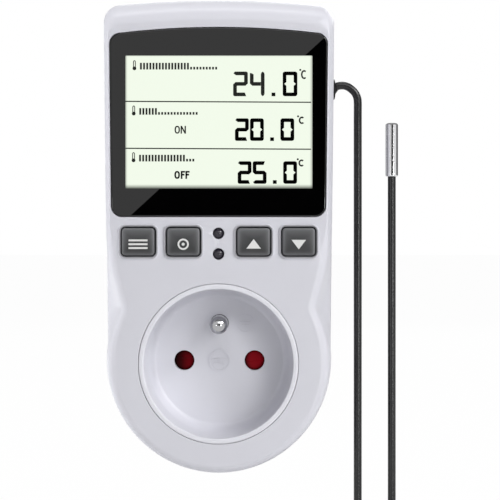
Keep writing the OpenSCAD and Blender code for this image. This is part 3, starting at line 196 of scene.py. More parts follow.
MATERIALS = {
    "casing_plastic": surface("casing", (0.60, 0.60, 0.65), 0.42, shade=0.012, grain=4200,
                              relief=0.006),
    "window_plastic": surface("lens", (0.0006, 0.0006, 0.0007), 0.004, grain=200, relief=0.0001,
                              rough_swing=0.002),
    "lcd_glass": surface("lcd", (0.80, 0.87, 0.74), 0.1, grain=300, relief=0.0),
    "white_plastic": surface("white", (0.72, 0.70, 0.66), 0.45),
    "clear_plastic": surface("guide", (0.9, 0.93, 0.95), 0.35),
    "silicone": surface("silicone", (0.5, 0.45, 0.4), 0.8),
    "board": surface("board", (0.02, 0.14, 0.05), 0.4, shade=0.12, grain=900),
    "dark_plastic": surface("dark", (0.025, 0.025, 0.028), 0.5, shade=0.1),
    "button_rubber": surface("button", (0.052, 0.053, 0.056), 0.4, shade=0.05, grain=2600,
                             relief=0.004),
    "lamp_lens": surface("lamp", (0.012, 0.009, 0.017), 0.12, shade=0.2, grain=600, relief=0.001),
    "screw_steel": surface("steel", (0.55, 0.55, 0.56), 0.35, shade=0.08, grain=1800,
                           Metallic=1.0),
    "red_plastic": surface("red", (0.27, 0.001, 0.007), 0.5, shade=0.06,
                           Specular_IOR_Level=0.05),
    "contact_brass": surface("brass", (0.78, 0.58, 0.28), 0.3, shade=0.08, grain=1500,
                             Metallic=1.0),
    "nickel": surface("nickel", (0.40, 0.40, 0.41), 0.09, grain=700, relief=0.0008,
                      rough_swing=0.03, Metallic=1.0),
    "blue_plastic": surface("blue", (0.03, 0.12, 0.38), 0.4),
    "yellow_plastic": surface("yellow", (0.62, 0.43, 0.05), 0.45),
    "can_sleeve": surface("can", (0.02, 0.035, 0.12), 0.25),
    "fuse_glass": surface("fuse", (0.8, 0.83, 0.83), 0.15),
    "resistor_paint": surface("resistor", (0.15, 0.25, 0.36), 0.5),
    "brown_insulation": surface("brown", (0.18, 0.06, 0.02), 0.4),
    "blue_insulation": surface("blue_wire", (0.02, 0.10, 0.38), 0.4),
    "cable_jacket": surface("jacket", (0.005, 0.005, 0.0055), 0.27, shade=0.1, grain=6000,
                            relief=0.0, rough_swing=0.02, Specular_IOR_Level=0.45),
    "tie_nylon": surface("nylon", (0.018, 0.018, 0.019), 0.45, shade=0.15, grain=2200),
    "probe_steel": surface("probe", (0.70, 0.70, 0.71), 0.09, grain=6000, relief=0.0,
                           rough_swing=0.01, Metallic=1.0),
}
INK = surface("ink", (0.0012, 0.0012, 0.0012), 0.6, shade=0.2, grain=1500, relief=0.0,
              Specular_IOR_Level=0.0)
PALE_INK = surface("ink_grey", (0.020, 0.021, 0.019), 0.6, shade=0.1, grain=1500, relief=0.0,
                   Specular_IOR_Level=0.0)
# The casing's plastic painted lighter for the socket insert, as painted light in the well.
WELL_PAINTED_LIGHTER = surface("well", (0.69, 0.69, 0.74), 0.42, shade=0.012, grain=4200, relief=0.006)
GROMMET = surface("grommet", (0.008, 0.008, 0.0085), 0.6, shade=0.2, grain=1600, relief=0.003,
                  Specular_IOR_Level=0.15)
PRINT = surface("print", (0.68, 0.68, 0.67), 0.5, shade=0.04, grain=1500, relief=0.0)


def painted_plate_shade(m, stops):
    """Paints light and shade on the shutter along X, from pairs of millimetres and level, and a
    painted shadow round each hole.
    """
    tree = m.node_tree
    place = place_of(tree)
    low, high = stops[0][0], stops[-1][0]
    ramp = add_node(tree, "ValToRGB")
    while len(ramp.color_ramp.elements) < len(stops):
        ramp.color_ramp.elements.new(0.5)
    for element, (x, k) in zip(ramp.color_ramp.elements, stops):
        element.position = (x - low) / (high - low)
        element.color = (k, k, k, 1)
    tree.links.new(map_range(tree, place["X"], low * MM, high * MM), ramp.inputs["Fac"])
    u = math_node(tree, "SUBTRACT", math_node(tree, "ABSOLUTE", place["X"]), CONTACT_X * MM)
    squares = [math_node(tree, "MULTIPLY", k, k) for k in (u, place["Z"])]
    reach = math_node(tree, "SQRT", math_node(tree, "ADD", *squares))
    multiply_base(m, ramp.outputs["Color"])
    multiply_base(m, map_range(tree, reach, 1.9 * MM, 2.7 * MM, 1.0, 0.12))


# Painted light and shade on the red shutter: darker on the left of each hole, brighter to the
# right, and dark round each hole's edge.
painted_plate_shade(MATERIALS["red_plastic"], ((-12.4, 0.02), (-10.4, 0.16), (-8.0, 0.7), (-6.8, 0.8),
                                        (6.8, 0.3), (8.2, 1.0), (12.4, 1.3)))
# Painted shade on the casing in the gap round each button.
tinted(MATERIALS["casing_plastic"], "rim", 1, 0.45)
# Painted light and shade on the button caps, from the value tone on each cap's mesh.
tinted(MATERIALS["button_rubber"], "tone", 0.08, 2.6)


# Mesh building
SHARP_ANGLE, WELD, FINE_WELD = 35, 0.0005, 0.00005


class Shape:
    """Gathers points, in millimetres, and faces, and makes a mesh piece from them."""

    def __init__(self):
        self.points = []
        self.faces = []

    def ring(self, flat, d):
        """Points given as x and z, at one depth."""
        return self.space([(x, at(d), z) for x, z in flat])

    def space(self, points):
        """Points given as x, y and z."""
        first = len(self.points)
        self.points += [tuple(p) for p in points]
        return list(range(first, len(self.points)))

    def band(self, a, b, closed=True):
        """Faces between two rings of as many points."""
        n = len(a)
        for i in range(n if closed else n - 1):
            k = (i + 1) % n
            self.faces.append((a[i], a[k], b[k], b[i]))

    def bands(self, rings):
        for a, b in zip(rings, rings[1:]):
            self.band(a, b)

    def fill(self, ring):
        self.faces.append(tuple(ring))

    def close(self, rings):
        """Closes a tube of rings at both ends."""
        self.fill(rings[0])
        self.fill(rings[-1])

    def region(self, outer, holes=()):
        """Flat faces between an outer ring and the holes in it."""
        loops = [outer, *holes]
        index, flat, edges, polygons = [], [], [], []
        for loop in loops:
            first = len(index)
            index += loop
            corners = [(self.points[i][0], self.points[i][2]) for i in loop]
            flat += [Vector(c) for c in corners]
            edges += [(first + i, first + (i + 1) % len(loop)) for i in range(len(loop))]
            polygons.append(corners)
        verts, _, faces, source, _, _ = delaunay_2d_cdt(flat, edges, [], 0, 1e-7)
        for face in faces:
            cx = sum(verts[i].x for i in face) / len(face)
            cz = sum(verts[i].y for i in face) / len(face)
            if [inside(cx, cz, p) for p in polygons] == [True] + [False] * len(holes):
                self.faces.append(tuple(index[source[i][0]] for i in face))

    def lathe(self, profile, x, z, n):
        """A form turned round an axis along Y, from pairs of radius and depth."""
        rings = [self.ring(circle(x, z, r, n), d) for r, d in profile]
        self.bands(rings)
        return rings

    def piece(self, name, slot, body="casing", material=None, weld=WELD, weighted=True):
        """The finished piece, with points closer than weld made one."""
        mesh = bpy.data.meshes.new(name)
        mesh.from_pydata([(x * MM, y * MM, z * MM) for x, y, z in self.points], [], self.faces)
        bm = bmesh.new()
        bm.from_mesh(mesh)
        bmesh.ops.remove_doubles(bm, verts=bm.verts, dist=weld * MM)
        bmesh.ops.dissolve_degenerate(bm, edges=bm.edges, dist=weld * MM)
        bmesh.ops.recalc_face_normals(bm, faces=bm.faces)
        bm.to_mesh(mesh)
        bm.free()
        mesh.materials.append(material or MATERIALS[slot])
        mesh.shade_smooth()
        mesh.set_sharp_from_angle(angle=radians(SHARP_ANGLE))
        o = add_object(name, mesh)
        if weighted:
            o.modifiers.new("normals", "WEIGHTED_NORMAL").keep_sharp = True
        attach(o, body)
        return o


def inside(x, z, polygon):
    """Whether a point lies in a polygon."""
    hit = False
    n = len(polygon)
    for i in range(n):
        x0, z0 = polygon[i]
        x1, z1 = polygon[(i + 1) % n]
        if (z0 > z) != (z1 > z) and x < x0 + (z - z0) * (x1 - x0) / (z1 - z0):
            hit = not hit
    return hit


def circle(x, z, r, n):
    return [(x + r * cos(tau * i / n), z + r * sin(tau * i / n)) for i in range(n)]


def quarter(n, first=0):
    """Angles over a quarter turn, in n steps."""
    return [radians(first + 90 * i / n) for i in range(n + 1)]


def rounded(x, z, w, h, r, n=8):
    """A rectangle with round corners, from the right side anticlockwise."""
    out = []
    for cx, cz, start in ((1, 1, 0), (-1, 1, 90), (-1, -1, 180), (1, -1, 270)):
        cx, cz = x + cx * (w / 2 - r), z + cz * (h / 2 - r)
        out += [(cx + r * cos(a), cz + r * sin(a)) for a in quarter(n, start)]
    return out


# The casing's outline
TOP_STEPS, CORNER_STEPS, SIDE_STEPS, FOOT_STEPS = 14, 12, 60, 30


def larger(a, b, soft):
    """The larger of two numbers, with a soft change from one to the other."""
    return (a + b + sqrt((a - b) ** 2 + soft * soft)) / 2


def edge_share(d):
    """How far the outline is drawn in towards the front panel's, from 1 to 0."""
    return (1 - min(max(d, 0) / SCOOP_D, 1)) ** 3


def back_in(d):
    """How far the draft and the back edge's rounding draw the outline in."""
    t = max(0.0, (d - (BODY_D - BACK_EDGE_R)) / BACK_EDGE_R)
    draft = BACK_DRAFT * (d - SPLIT_D) / (BODY_D - SPLIT_D) if d > SPLIT_D else 0.0
    return draft + BACK_EDGE_R * (1 - sqrt(max(0.0, 1 - t * t))) * BACK_ROUND


def scoop_in(z):
    """How far the finger grip cuts into the side at a height."""
    if z < 0:
        return 0.0
    face = sqrt(max(0.0, FACE_LOW_R ** 2 - z * z))
    over = SCOOP_TOP_Z - z
    scoop = FACE_LOW_R - SCOOP_SLOPE * (over + sqrt(over * over + SCOOP_SOFT ** 2)) / 2
    return max(0.0, FACE_LOW_R - larger(face, scoop, WAIST_SOFT))


def outline(d, inset=0.0):
    """The casing's closed outline at a depth, drawn in by some distance."""
    share = edge_share(d)
    fall = back_in(d) + inset
    r = LOW_R - (LOW_R - FACE_LOW_R) * share - fall
    foot = LOW_RISE * (1 - share)
    w = TOP_HALF_W - SIDE_DRAW * share - fall
    crown = TOP_Z - TOP_DRAW * share - fall
    c = max(TOP_CORNER_R - (TOP_CORNER_R - FACE_CORNER_R) * share - inset / 2, FACE_CORNER_R / 2)
    scoop_share = 1 - min(max(d, 0) / SCOOP_D, 1) ** 3

    def side(z):
        return r + (w - r) * (z - foot) / (TOP_Z - foot) - scoop_in(z) * scoop_share

    top_x = w - c
    corner_z = crown - top_x ** 2 / (2 * TOP_ARCH_R) - c
    slack = w - side(corner_z)
    half = []
    for i in range(TOP_STEPS):
        x = top_x * i / TOP_STEPS
        half.append((x, crown - x ** 2 / (2 * TOP_ARCH_R)))
    for i in range(CORNER_STEPS + 1):
        a = radians(90 - 90 * i / CORNER_STEPS)
        half.append((top_x + c * cos(a) - slack * i / CORNER_STEPS, corner_z + c * sin(a)))
    for i in range(1, SIDE_STEPS + 1):
        z = foot + (corner_z - foot) * (1 - i / SIDE_STEPS) ** 1.5
        half.append((side(z), z))
    for i in range(1, FOOT_STEPS):
        a = radians(-90 * i / FOOT_STEPS)
        half.append((r * cos(a), foot + r * sin(a)))
    low = [(0.0, foot - r)]
    return [(-x, z) for x, z in half] + low + half[:0:-1]


def window_outline(grow):
    """The display window's outline, with its arched top."""
    w, h, r, foot = 28.5 + grow, 24 + grow, 2.8 + grow, 28.05 + grow
    out = [((w - r) * i / 10, h + 1.5 * (1 - i * i / 100)) for i in range(-10, 11)]
    turn = quarter(10)
    out += [(w - r + r * cos(a), h - r + r * sin(a)) for a in turn[-2::-1]]
    out += [(foot - r + r * cos(a), r - h - r * sin(a)) for a in turn]
    out += [(r - foot - r * cos(a), r - h - r * sin(a)) for a in turn[::-1]]
    out += [(r - w - r * cos(a), h - r + r * sin(a)) for a in turn[:-1]]
    return [(x, z + WINDOW_Z) for x, z in out]


def lit_outline(grow):
    return rounded(LIT_X, LIT_Z, LIT_W + 2 * grow, LIT_H + 2 * grow, 0.15, 2)


def cap_outline(x, grow):
    return rounded(x, BUTTON_Z, CAP_W + 2 * grow, CAP_H + 2 * grow, CAP_R + grow)


def paint(o, name, value_at):
    """Gives each point of a mesh a value, from its x, depth and z in millimetres."""
    values = [value_at(v.co.x / MM, v.co.y / MM - FRONT_Y, v.co.z / MM) for v in o.data.vertices]
    o.data.attributes.new(name, "FLOAT", "POINT").data.foreach_set("value", values)


# Front cover. Its front edge is tight beside the window, and soft above it and round the outlet.
EDGE_R, SOFT_EDGE_R = 0.25, 1.8
SOFT_LOW_Z, SOFT_LOW_FADE, SOFT_HIGH_Z, SOFT_HIGH_FADE = 37.0, 9, 86.6, 3
LIP_REST_D = SPLIT_D - LIP_D - 0.1
# Screw bosses: x, z, radius, bore and the depth where they end
BOSSES = ((25, 88, 2.9, 1.45, 25), (22, -12, 2.9, 1.45, 25), (24, 24.2, 1.8, 1.05, 8.7),
          (17, 86.8, 1.8, 1.05, 8.7), (24.5, 0, 2.4, 1.05, 5.4))
front = Shape()
skin = []
for a in quarter(8):
    tight, soft = [(r * (1 - cos(a)), outline(r * (1 - cos(a)), r * (1 - sin(a))))
                   for r in (EDGE_R, SOFT_EDGE_R)]
    ring = []
    for (x0, z0), (x1, z1) in zip(tight[1], soft[1]):
        k = min(1.0, max(0.0, (SOFT_LOW_Z - z0) / SOFT_LOW_FADE,
                         (z0 - SOFT_HIGH_Z) / SOFT_HIGH_FADE))
        k = k * k * (3 - 2 * k)
        ring.append((x0 + k * (x1 - x0), at(tight[0] + k * (soft[0] - tight[0])),
                     z0 + k * (z1 - z0)))
    skin.append(front.space(ring))
for d in (1.8, 2.4, 3.1, 3.9, 4.8, 5.8, 6.9, 8.1, 9.4, 10.8, 12.3, 14.0, 17.5, 21.2, 24.75):
    skin.append(front.ring(outline(d), d))
skin.append(front.ring(outline(SPLIT_D, 0.3), SPLIT_D))
front.bands(skin)
holes, back_holes = [], []


def through(profile, ring_at):
    """Walls of a hole in the front face, from pairs of grow and depth, and its inner ring."""
    rings = [front.ring(ring_at(g), d) for g, d in profile]
    front.bands(rings)
    holes.append(rings[0])
    return rings[-1]


window_seat = through([(0.19, 0), (0.15, 0.05), (0.15, WINDOW_SEAT_D)], window_outline)
lit_rings = [front.ring(lit_outline(1), d) for d in (WINDOW_SEAT_D, FACE_T)]
front.bands(lit_rings)
front.region(window_seat, [lit_rings[0]])
back_holes.append(lit_rings[1])
half = BEAD_W / 2
bead = [(CAP_GAP + BEAD_W + 0.1, 0), (CAP_GAP + BEAD_W + 0.02, -0.02)]
bead += [(CAP_GAP + half * (1 + cos(radians(a))),
          -0.4 * sin(radians(a)) ** 0.8) for a in range(18, 181, 18)]
bead.append((CAP_GAP, FACE_T))
for x in BUTTONS.values():
    back_holes.append(through(bead, lambda g, x=x: cap_outline(x, g)))
for z in LAMPS.values():
    back_holes.append(through([(1.62, 0), (1.53, 0.05), (1.5, 0.15), (1.5, FACE_T)],
                              lambda r, z=z: circle(0, z, r, 40)))
back_holes.append(through([(SOCKET_R + 0.07, 0), (SOCKET_R + 0.01, 0.04), (SOCKET_R, 0.1),
                           (SOCKET_R, FACE_T)], lambda r: circle(0, 0, r, 160)))
front.region(skin[0], holes)
cavity = [front.ring(outline(d, WALL), d) for d in (FACE_T, 5, 8, 11, 14, 18, LIP_REST_D)]
rebate = [front.ring(outline(d, 1.0), d) for d in (LIP_REST_D, SPLIT_D)]
front.bands(cavity + rebate)
front.band(rebate[-1], skin[-1])
front.region(cavity[0], back_holes)
for x, z, r, bore, end in BOSSES:
    for s in (-1, 1):
        rings = front.lathe([(bore, end), (r, end), (r, FACE_T), (bore, FACE_T)], s * x, z, 24)
        front.band(rings[-1], rings[0])
casing_front = front.piece("casing_front", "casing_plastic")


def gap_shade_at(x, d, z):
    """Painted shade: 1 in the narrow gap round each button, and 0 from just outside its bead."""
    spans = [(abs(x - cx) - CAP_W / 2 + CAP_R, abs(z - BUTTON_Z) - CAP_H / 2 + CAP_R)
             for cx in BUTTONS.values()]
    reach = min(hypot(max(u, 0), max(w, 0)) + min(max(u, w), 0) for u, w in spans) - CAP_R
    return min(1.0, max(0.0, (0.93 - reach) / 0.4)) if d < 2 else 0.0


# Painted shade round the buttons, kept as the value rim on the mesh.
paint(casing_front, "rim", gap_shade_at)
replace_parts(casing_front, "front_cover")

# Back cover with the plug's body
BOSS_R = 4.2
END_WALL_D = 53.5
back = Shape()
skin = [back.ring(outline(SPLIT_D, 0.3), SPLIT_D)]
edge = [BODY_D - BACK_EDGE_R + BACK_EDGE_R * sin(radians(9 * i)) for i in range(1, 7)]
for d in (25.25, 27, 29.5, 32, 35, *edge):
    skin.append(back.ring(outline(d), d))
skin.append(back.ring(outline(edge[-1], 0.02), BODY_D - 0.1))
skin.append(back.ring(outline(edge[-1], 0.08), BODY_D))
back.bands(skin)
lip = [back.ring(outline(d, LIP_IN), d) for d in (SPLIT_D, SPLIT_D - LIP_D)]


def round_bosses(flat):
    """The wall's line, led round the inner side of each screw boss."""
    for cx, cz in SCREWS:
        near = [i for i, (x, z) in enumerate(flat) if hypot(x - cx, z - cz) < BOSS_R]
        first, last = flat[near[0] - 1], flat[(near[-1] + 1) % len(flat)]
        a0 = atan2(first[1] - cz, first[0] - cx)
        a1 = atan2(last[1] - cz, last[0] - cx)
        inward = atan2(30 - cz, -cx)
        sweep = (a1 - a0) % tau
        if (inward - a0) % tau > sweep:
            sweep -= tau
        for k, i in enumerate(near):
            a = a0 + sweep * (k + 0.5) / len(near)
            flat[i] = (cx + BOSS_R * cos(a), cz + BOSS_R * sin(a))
    return flat


hollow = [back.ring(outline(SPLIT_D, WALL), d) for d in (SPLIT_D - LIP_D, SPLIT_D)]
hollow += [back.ring(round_bosses(outline(d, WALL)), d) for d in (SPLIT_D, 30, 36)]
back.bands([skin[0]] + lip + hollow)

# Angles of the plug's outline over a quarter turn, with pairs where a groove or channel begins
PLUG_ANGLES = [0, 4, 7.5, 7.8, *range(10, 75, 4), 77, 79.2, 79.5, 83, 87]
GROOVE_A, GROOVE_HALF, CHANNEL_A, CHANNEL_HALF, FLOOR_X = 7.6, 2.5, 79.4, 3.4, 17.3


def plug_ring(d, inset=0.0, grooves=False, channels=False):
    """The plug's round body with its side grooves and its clip channels."""
    out = []
    r = PLUG_R - inset
    angles = PLUG_ANGLES + [180 - a for a in PLUG_ANGLES[:0:-1]]
    for degrees in angles + [a + 180 for a in angles]:
        a = radians(degrees)
        x, z = r * cos(a), r * sin(a)
        from_side = min(degrees % 180, 180 - degrees % 180)
        if grooves and from_side <= GROOVE_A:
            x = copysign(FLOOR_X, x)
            z = max(-GROOVE_HALF, min(GROOVE_HALF, z))
        if channels and from_side >= CHANNEL_A:
            z = copysign(FLOOR_X, z)
            x = max(-CHANNEL_HALF, min(CHANNEL_HALF, x))
        out.append((x, z))
    return back.ring(out, d)


plug = [plug_ring(38, -0.6), plug_ring(38.08, -0.3), plug_ring(38.3, -0.08), plug_ring(38.6),
        plug_ring(39.2), plug_ring(39.2, 0, True), plug_ring(39.8, 0, True),
        plug_ring(39.8, 0, True, True)]
plug += [plug_ring(54.7 + 0.8 * sin(a), 0.8 * (1 - cos(a)), True, True) for a in quarter(6)]
back.bands(plug)
end_holes, end_inner = [], []
for x, z, r in ((CONTACT_X, 0, 2.65), (-CONTACT_X, 0, 2.65), (0, EARTH_Z, 2.9)):
    hole = [(r + 0.3, PLUG_END_D), (r + 0.08, 55.3), (r, 55), (r, END_WALL_D)]
    rings = back.lathe(hole, x, z, 40)
    end_holes.append(rings[0])
    end_inner.append(rings[-1])
back.region(plug[-1], end_holes)
bore = back.lathe([(PLUG_BORE_R, END_WALL_D), (PLUG_BORE_R, 36)], 0, 0, 96)
back.region(bore[0], end_inner)
rim_holes = [plug[0]]
for x, z in SCREWS:
    hole = [(3.05, BODY_D), (3, 37.95), (3, 31), (1.6, 31), (1.6, SPLIT_D)]
    rim_holes.append(back.lathe(hole, x, z, 48)[0])
back.region(skin[-1], rim_holes)
back.region(hollow[-1], [bore[1]])
casing_back = back.piece("casing_back", "casing_plastic")
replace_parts(casing_back, "back_cover")

# Display window: a black gloss pane round a lit area
LENS_D, LENS_EDGE_R = -0.1, 0.3
lens = Shape()
rings = [lens.ring(window_outline(-0.36), LENS_D)]
for a in quarter(4):
    rings.append(lens.ring(window_outline(-LENS_EDGE_R * (1 - sin(a))),
                           LENS_D + LENS_EDGE_R * (1 - cos(a))))
rings.append(lens.ring(window_outline(0), WINDOW_SEAT_D))
lens.bands(rings)
opening = [lens.ring(lit_outline(0), d) for d in (LENS_D, WINDOW_SEAT_D)]
lens.bands(opening)
lens.region(rings[0], [opening[0]])
lens.region(rings[-1], [opening[1]])
display_lens = lens.piece("display_lens", "window_plastic")
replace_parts(display_lens, "display_window")

LIT_D = LENS_D + 0.06
sheet = Shape()
plate = [sheet.ring(lit_outline(-0.005), d) for d in (LIT_D, WINDOW_SEAT_D)]
sheet.bands(plate)
sheet.region(plate[0])
sheet.region(plate[1])


def lit_material():
    """The backlit sheet: pale green, and darker along its edges as a painted shadow."""
    m = surface("lit_sheet", (0.05, 0.055, 0.045), 0.3, shade=0.004, grain=900, relief=0.0,
                Specular_IOR_Level=0.1)
    tree = m.node_tree
    place = place_of(tree)
    left, right = LIT_X - LIT_W / 2, LIT_X + LIT_W / 2
    low, high = LIT_Z - LIT_H / 2, LIT_Z + LIT_H / 2
    # Painted shadow: the glow fades along each edge.
    painted_edge_shadows = [map_range(tree, place[axis], a * MM, b * MM, to_a, to_b)
             for axis, a, b, to_a, to_b in (("X", right - 0.7, right, 1.0, 0.45),
                                            ("X", left, left + 0.55, 0.5, 1.0),
                                            ("Z", low, low + 1.15, 0.02, 1.0),
                                            ("Z", high - 0.3, high, 1.0, 0.75))]
    level = math_node(tree, "MULTIPLY", math_node(tree, "MULTIPLY", *painted_edge_shadows[:2]),
                      math_node(tree, "MULTIPLY", *painted_edge_shadows[2:]))
    mix = mix_node(tree)
    mix.inputs[MIX_A].default_value = (0.0, 0.0, 0.0, 1)
    mix.inputs[MIX_B].default_value = (0.84, 0.905, 0.785, 1)
    tree.links.new(level, mix.inputs["Factor"])
    shader = tree.nodes["Principled BSDF"]
    tree.links.new(mix.outputs[MIX_RESULT], shader.inputs["Emission Color"])
    shader.inputs["Emission Strength"].default_value = 1.0
    return m


sheet.piece("lit_sheet", "lcd_glass", material=lit_material())


# Marks on the display and the buttons
INK_D = LIT_D - 0.035
BAR_STEP, BAR_W, TALL_BAR, LOW_BAR, SEGMENT_W, TUBE_H = 0.82, 0.5, 1.75, 0.7, 0.97, 2.5


def prism(shape, flat, d0=INK_D, d1=LIT_D, hole=None):
    """A flat figure with some thickness, and a hole in it if there is one."""
    rings = [(shape.ring(flat, d), [shape.ring(hole, d)] if hole else []) for d in (d0, d1)]
    shape.band(rings[0][0], rings[1][0])
    if hole:
        shape.band(rings[0][1][0], rings[1][1][0])
    for outer, holes in rings:
        shape.region(outer, holes)


def ribbon(shape, line, width, d0=INK_D, d1=LIT_D, closed=False):
    """A line of some width and thickness, with mitred bends."""
    n = len(line)
    left, right = [], []
    for i in range(n):
        before = line[(i - 1) % n] if closed or i else line[0]
        after = line[(i + 1) % n] if closed or i < n - 1 else line[-1]
        here = Vector(line[i])
        u = (here - Vector(before)) if (closed or i) else (Vector(after) - here)
        v = (Vector(after) - here) if (closed or i < n - 1) else u
        u, v = u.normalized(), v.normalized()
        bend = u + v
        side = Vector((-bend.y, bend.x)).normalized()
        reach = width / 2 / max(0.45, side.dot(Vector((-u.y, u.x))))
        left.append(tuple(here + side * reach))
        right.append(tuple(here - side * reach))
    rows = [shape.ring(flat, d) for flat, d in ((left, d0), (left, d1), (right, d1), (right, d0))]
    for a, b in zip(rows, rows[1:] + rows[:1]):
        shape.band(a, b, closed)
    if not closed:
        for end in (0, -1):
            shape.fill([row[end] for row in rows])


def digit(shape, figure, x, z, w, h):
    """A seven segment figure from its lower left corner."""
    t = SEGMENT_W
    m, k = h / 2, t / 2

    def moved(flat):
        return [(x + px, z + pz) for px, pz in flat]

    if figure in "25":
        flat = [(0.08, h - k), (0.45, h), (w - 0.42, h), (w - 0.12, h - 0.12), (w, h - 0.42),
                (w, m + 0.1), (w - 0.62, m - k), (t, m - k), (t, t), (w - 0.78, t), (w - 0.42, 0),
                (0.42, 0), (0.12, 0.12), (0, 0.42), (0, m - 0.1), (0.62, m + k), (w - t, m + k),
                (w - t, h - t), (0.75, h - t)]
        if figure == "5":
            flat = [(px, h - pz) for px, pz in flat]
        prism(shape, moved(flat))
    elif figure == "4":
        hook = [(0, h - 0.35), (0.5, h - 0.45), (t, h - 0.75), (t, m + k), (w - t - 0.02, m + k),
                (w - t - 0.02, m - k), (0.62, m - k), (0, m + 0.1)]
        stem = [(w - k, h), (w - 0.12, h - 0.3), (w, h - 0.7), (w, 0.7), (w - 0.12, 0.3),
                (w - k, 0), (w - t + 0.12, 0.3), (w - t, 0.7), (w - t, h - 0.7),
                (w - t + 0.12, h - 0.3)]
        prism(shape, moved(hook))
        prism(shape, moved(stem))
    else:
        hole = [(t, t), (w - t, t), (w - t, m - 0.5), (w - 0.42, m), (w - t, m + 0.5),
                (w - t, h - t), (t, h - t), (t, m + 0.5), (0.42, m), (t, m - 0.5)]
        prism(shape, rounded(x + w / 2, z + m, w, h, 0.6, 4), hole=moved(hole))


def photo(px, py):
    """The place on the display of a point of the 500 pixel frame."""
    return CAMERA_X + (px - 250) / PHOTO_SCALE, CAMERA_Z + (250 - py) / PHOTO_SCALE


def figures(shape, text, px, py_low, w, h):
    for figure, x in zip(text, px):
        digit(shape, figure, *photo(x, py_low), w, h)


def bar(shape, x, z, w, h):
    prism(shape, [(x, z), (x + w, z), (x + w, z + h), (x, z + h)])


def degree_c(shape, px, py, h):
    x, z = photo(px, py)
    prism(shape, circle(x + 0.22, z + h - 0.05, 0.27, 12))
    arc = []
    for i in range(17):
        a = radians(50 + 260 * i / 16)
        arc.append((x + 1.22 + 0.62 * cos(a), z + h / 2 - 0.1 + (h / 2 - 0.2) * sin(a)))
    ribbon(shape, arc, 0.42)


def letter(shape, name, x, z, w, h, t):
    """An O, N or F, from its lower left corner."""
    if name == "O":
        def soft(k):
            return copysign(abs(k) ** 0.8, k)

        ring = [(x + w / 2 + (w - t) / 2 * soft(cos(a)),
                 z + h / 2 + (h - t) / 2 * soft(sin(a)))
                for a in [tau * i / 24 for i in range(24)]]
        ribbon(shape, ring, t, closed=True)
        return
    left, right = t / 2, w - t / 2
    strokes = {"N": (((left, 0), (left, h)), ((right, 0), (right, h)),
                     ((left, h - 0.05), (right, 0.05))),
               "F": (((left, 0), (left, h)), ((left, h - t / 2), (w, h - t / 2)),
                     ((left, h * 0.53), (w * 0.88, h * 0.53)))}[name]
    for a, b in strokes:
        ribbon(shape, [(x + a[0], z + a[1]), (x + b[0], z + b[1])], t)


def level_bar(shape, x, z, w, level):
    """A thermometer beside a row of bars, tall up to some level."""
    prism(shape, circle(x + 0.55, z + 0.5, 0.5, 18))
    tube = ((0.3, 0.7), (0.3, TUBE_H - 0.25), (0.4, TUBE_H - 0.05), (0.55, TUBE_H),
            (0.7, TUBE_H - 0.05), (0.8, TUBE_H - 0.25), (0.8, 0.7))
    ribbon(shape, [(x + px, z + pz) for px, pz in tube], 0.22)
    count = int((w - 2.0) / BAR_STEP)
    for i in range(count):
        bar(shape, x + 2.0 + i * BAR_STEP, z + 0.2, BAR_W,
            TALL_BAR if i < count * level else LOW_BAR)


black, grey = Shape(), Shape()
figures(grey, "24", (233.2, 249.9), 96.7, 3.84, 6.46)
figures(black, "0", (282.6,), 96.7, 3.84, 6.46)
figures(black, "200", (235.0, 250.0, 280.3), 141.2, 3.62, 5.9)
figures(black, "250", (237.7, 252.7, 283.1), 184.0, 3.62, 5.9)
for px, py in ((271.5, 96.7), (270.1, 141.3), (272.8, 184.0)):
    bar(black, *photo(px, py), 1.0, 0.95)
for px, py, h in ((299.3, 79.2, 2.35), (297.1, 124.0, 1.95), (296.8, 166.4, 1.85)):
    degree_c(grey, px, py, h)
for px, py, w, level in ((132.7, 70.8, 22.6, 0.62), (132.0, 115.9, 17.8, 0.3),
                         (131.8, 162.5, 17.5, 0.8)):
    level_bar(grey, *photo(px, py), w, level)
for name, px in (("O", 174.8), ("N", 180.8)):
    letter(grey, name, *photo(px, 134.0), 1.4, 2.05, 0.36)
for name, px, w in (("O", 174.6, 1.45), ("F", 181.0, 1.1), ("F", 185.6, 1.1)):
    letter(black, name, *photo(px, 179.1), w, 2.08, 0.44)
for py in (101.8, 148.6):
    z = photo(0, py)[1]
    ribbon(black, [(LIT_X - LIT_W / 2 + 0.02, z), (LIT_X + LIT_W / 2 - 0.35, z - 0.24)], 0.3)
for shape, name, ink in ((black, "display_figures", INK), (grey, "display_signs", PALE_INK)):
    shape.piece(name, "lcd_glass", material=ink, weighted=False, weld=FINE_WELD)


# Buttons
CAP_TOP_D, CAP_EDGE_R, CAP_CROWN, CAP_FOOT_D, KEY_D = -0.78, 0.7, 0.12, 2.5, 3.3
SIGN_D, SIGN_ROOT_D = -0.935, -0.72


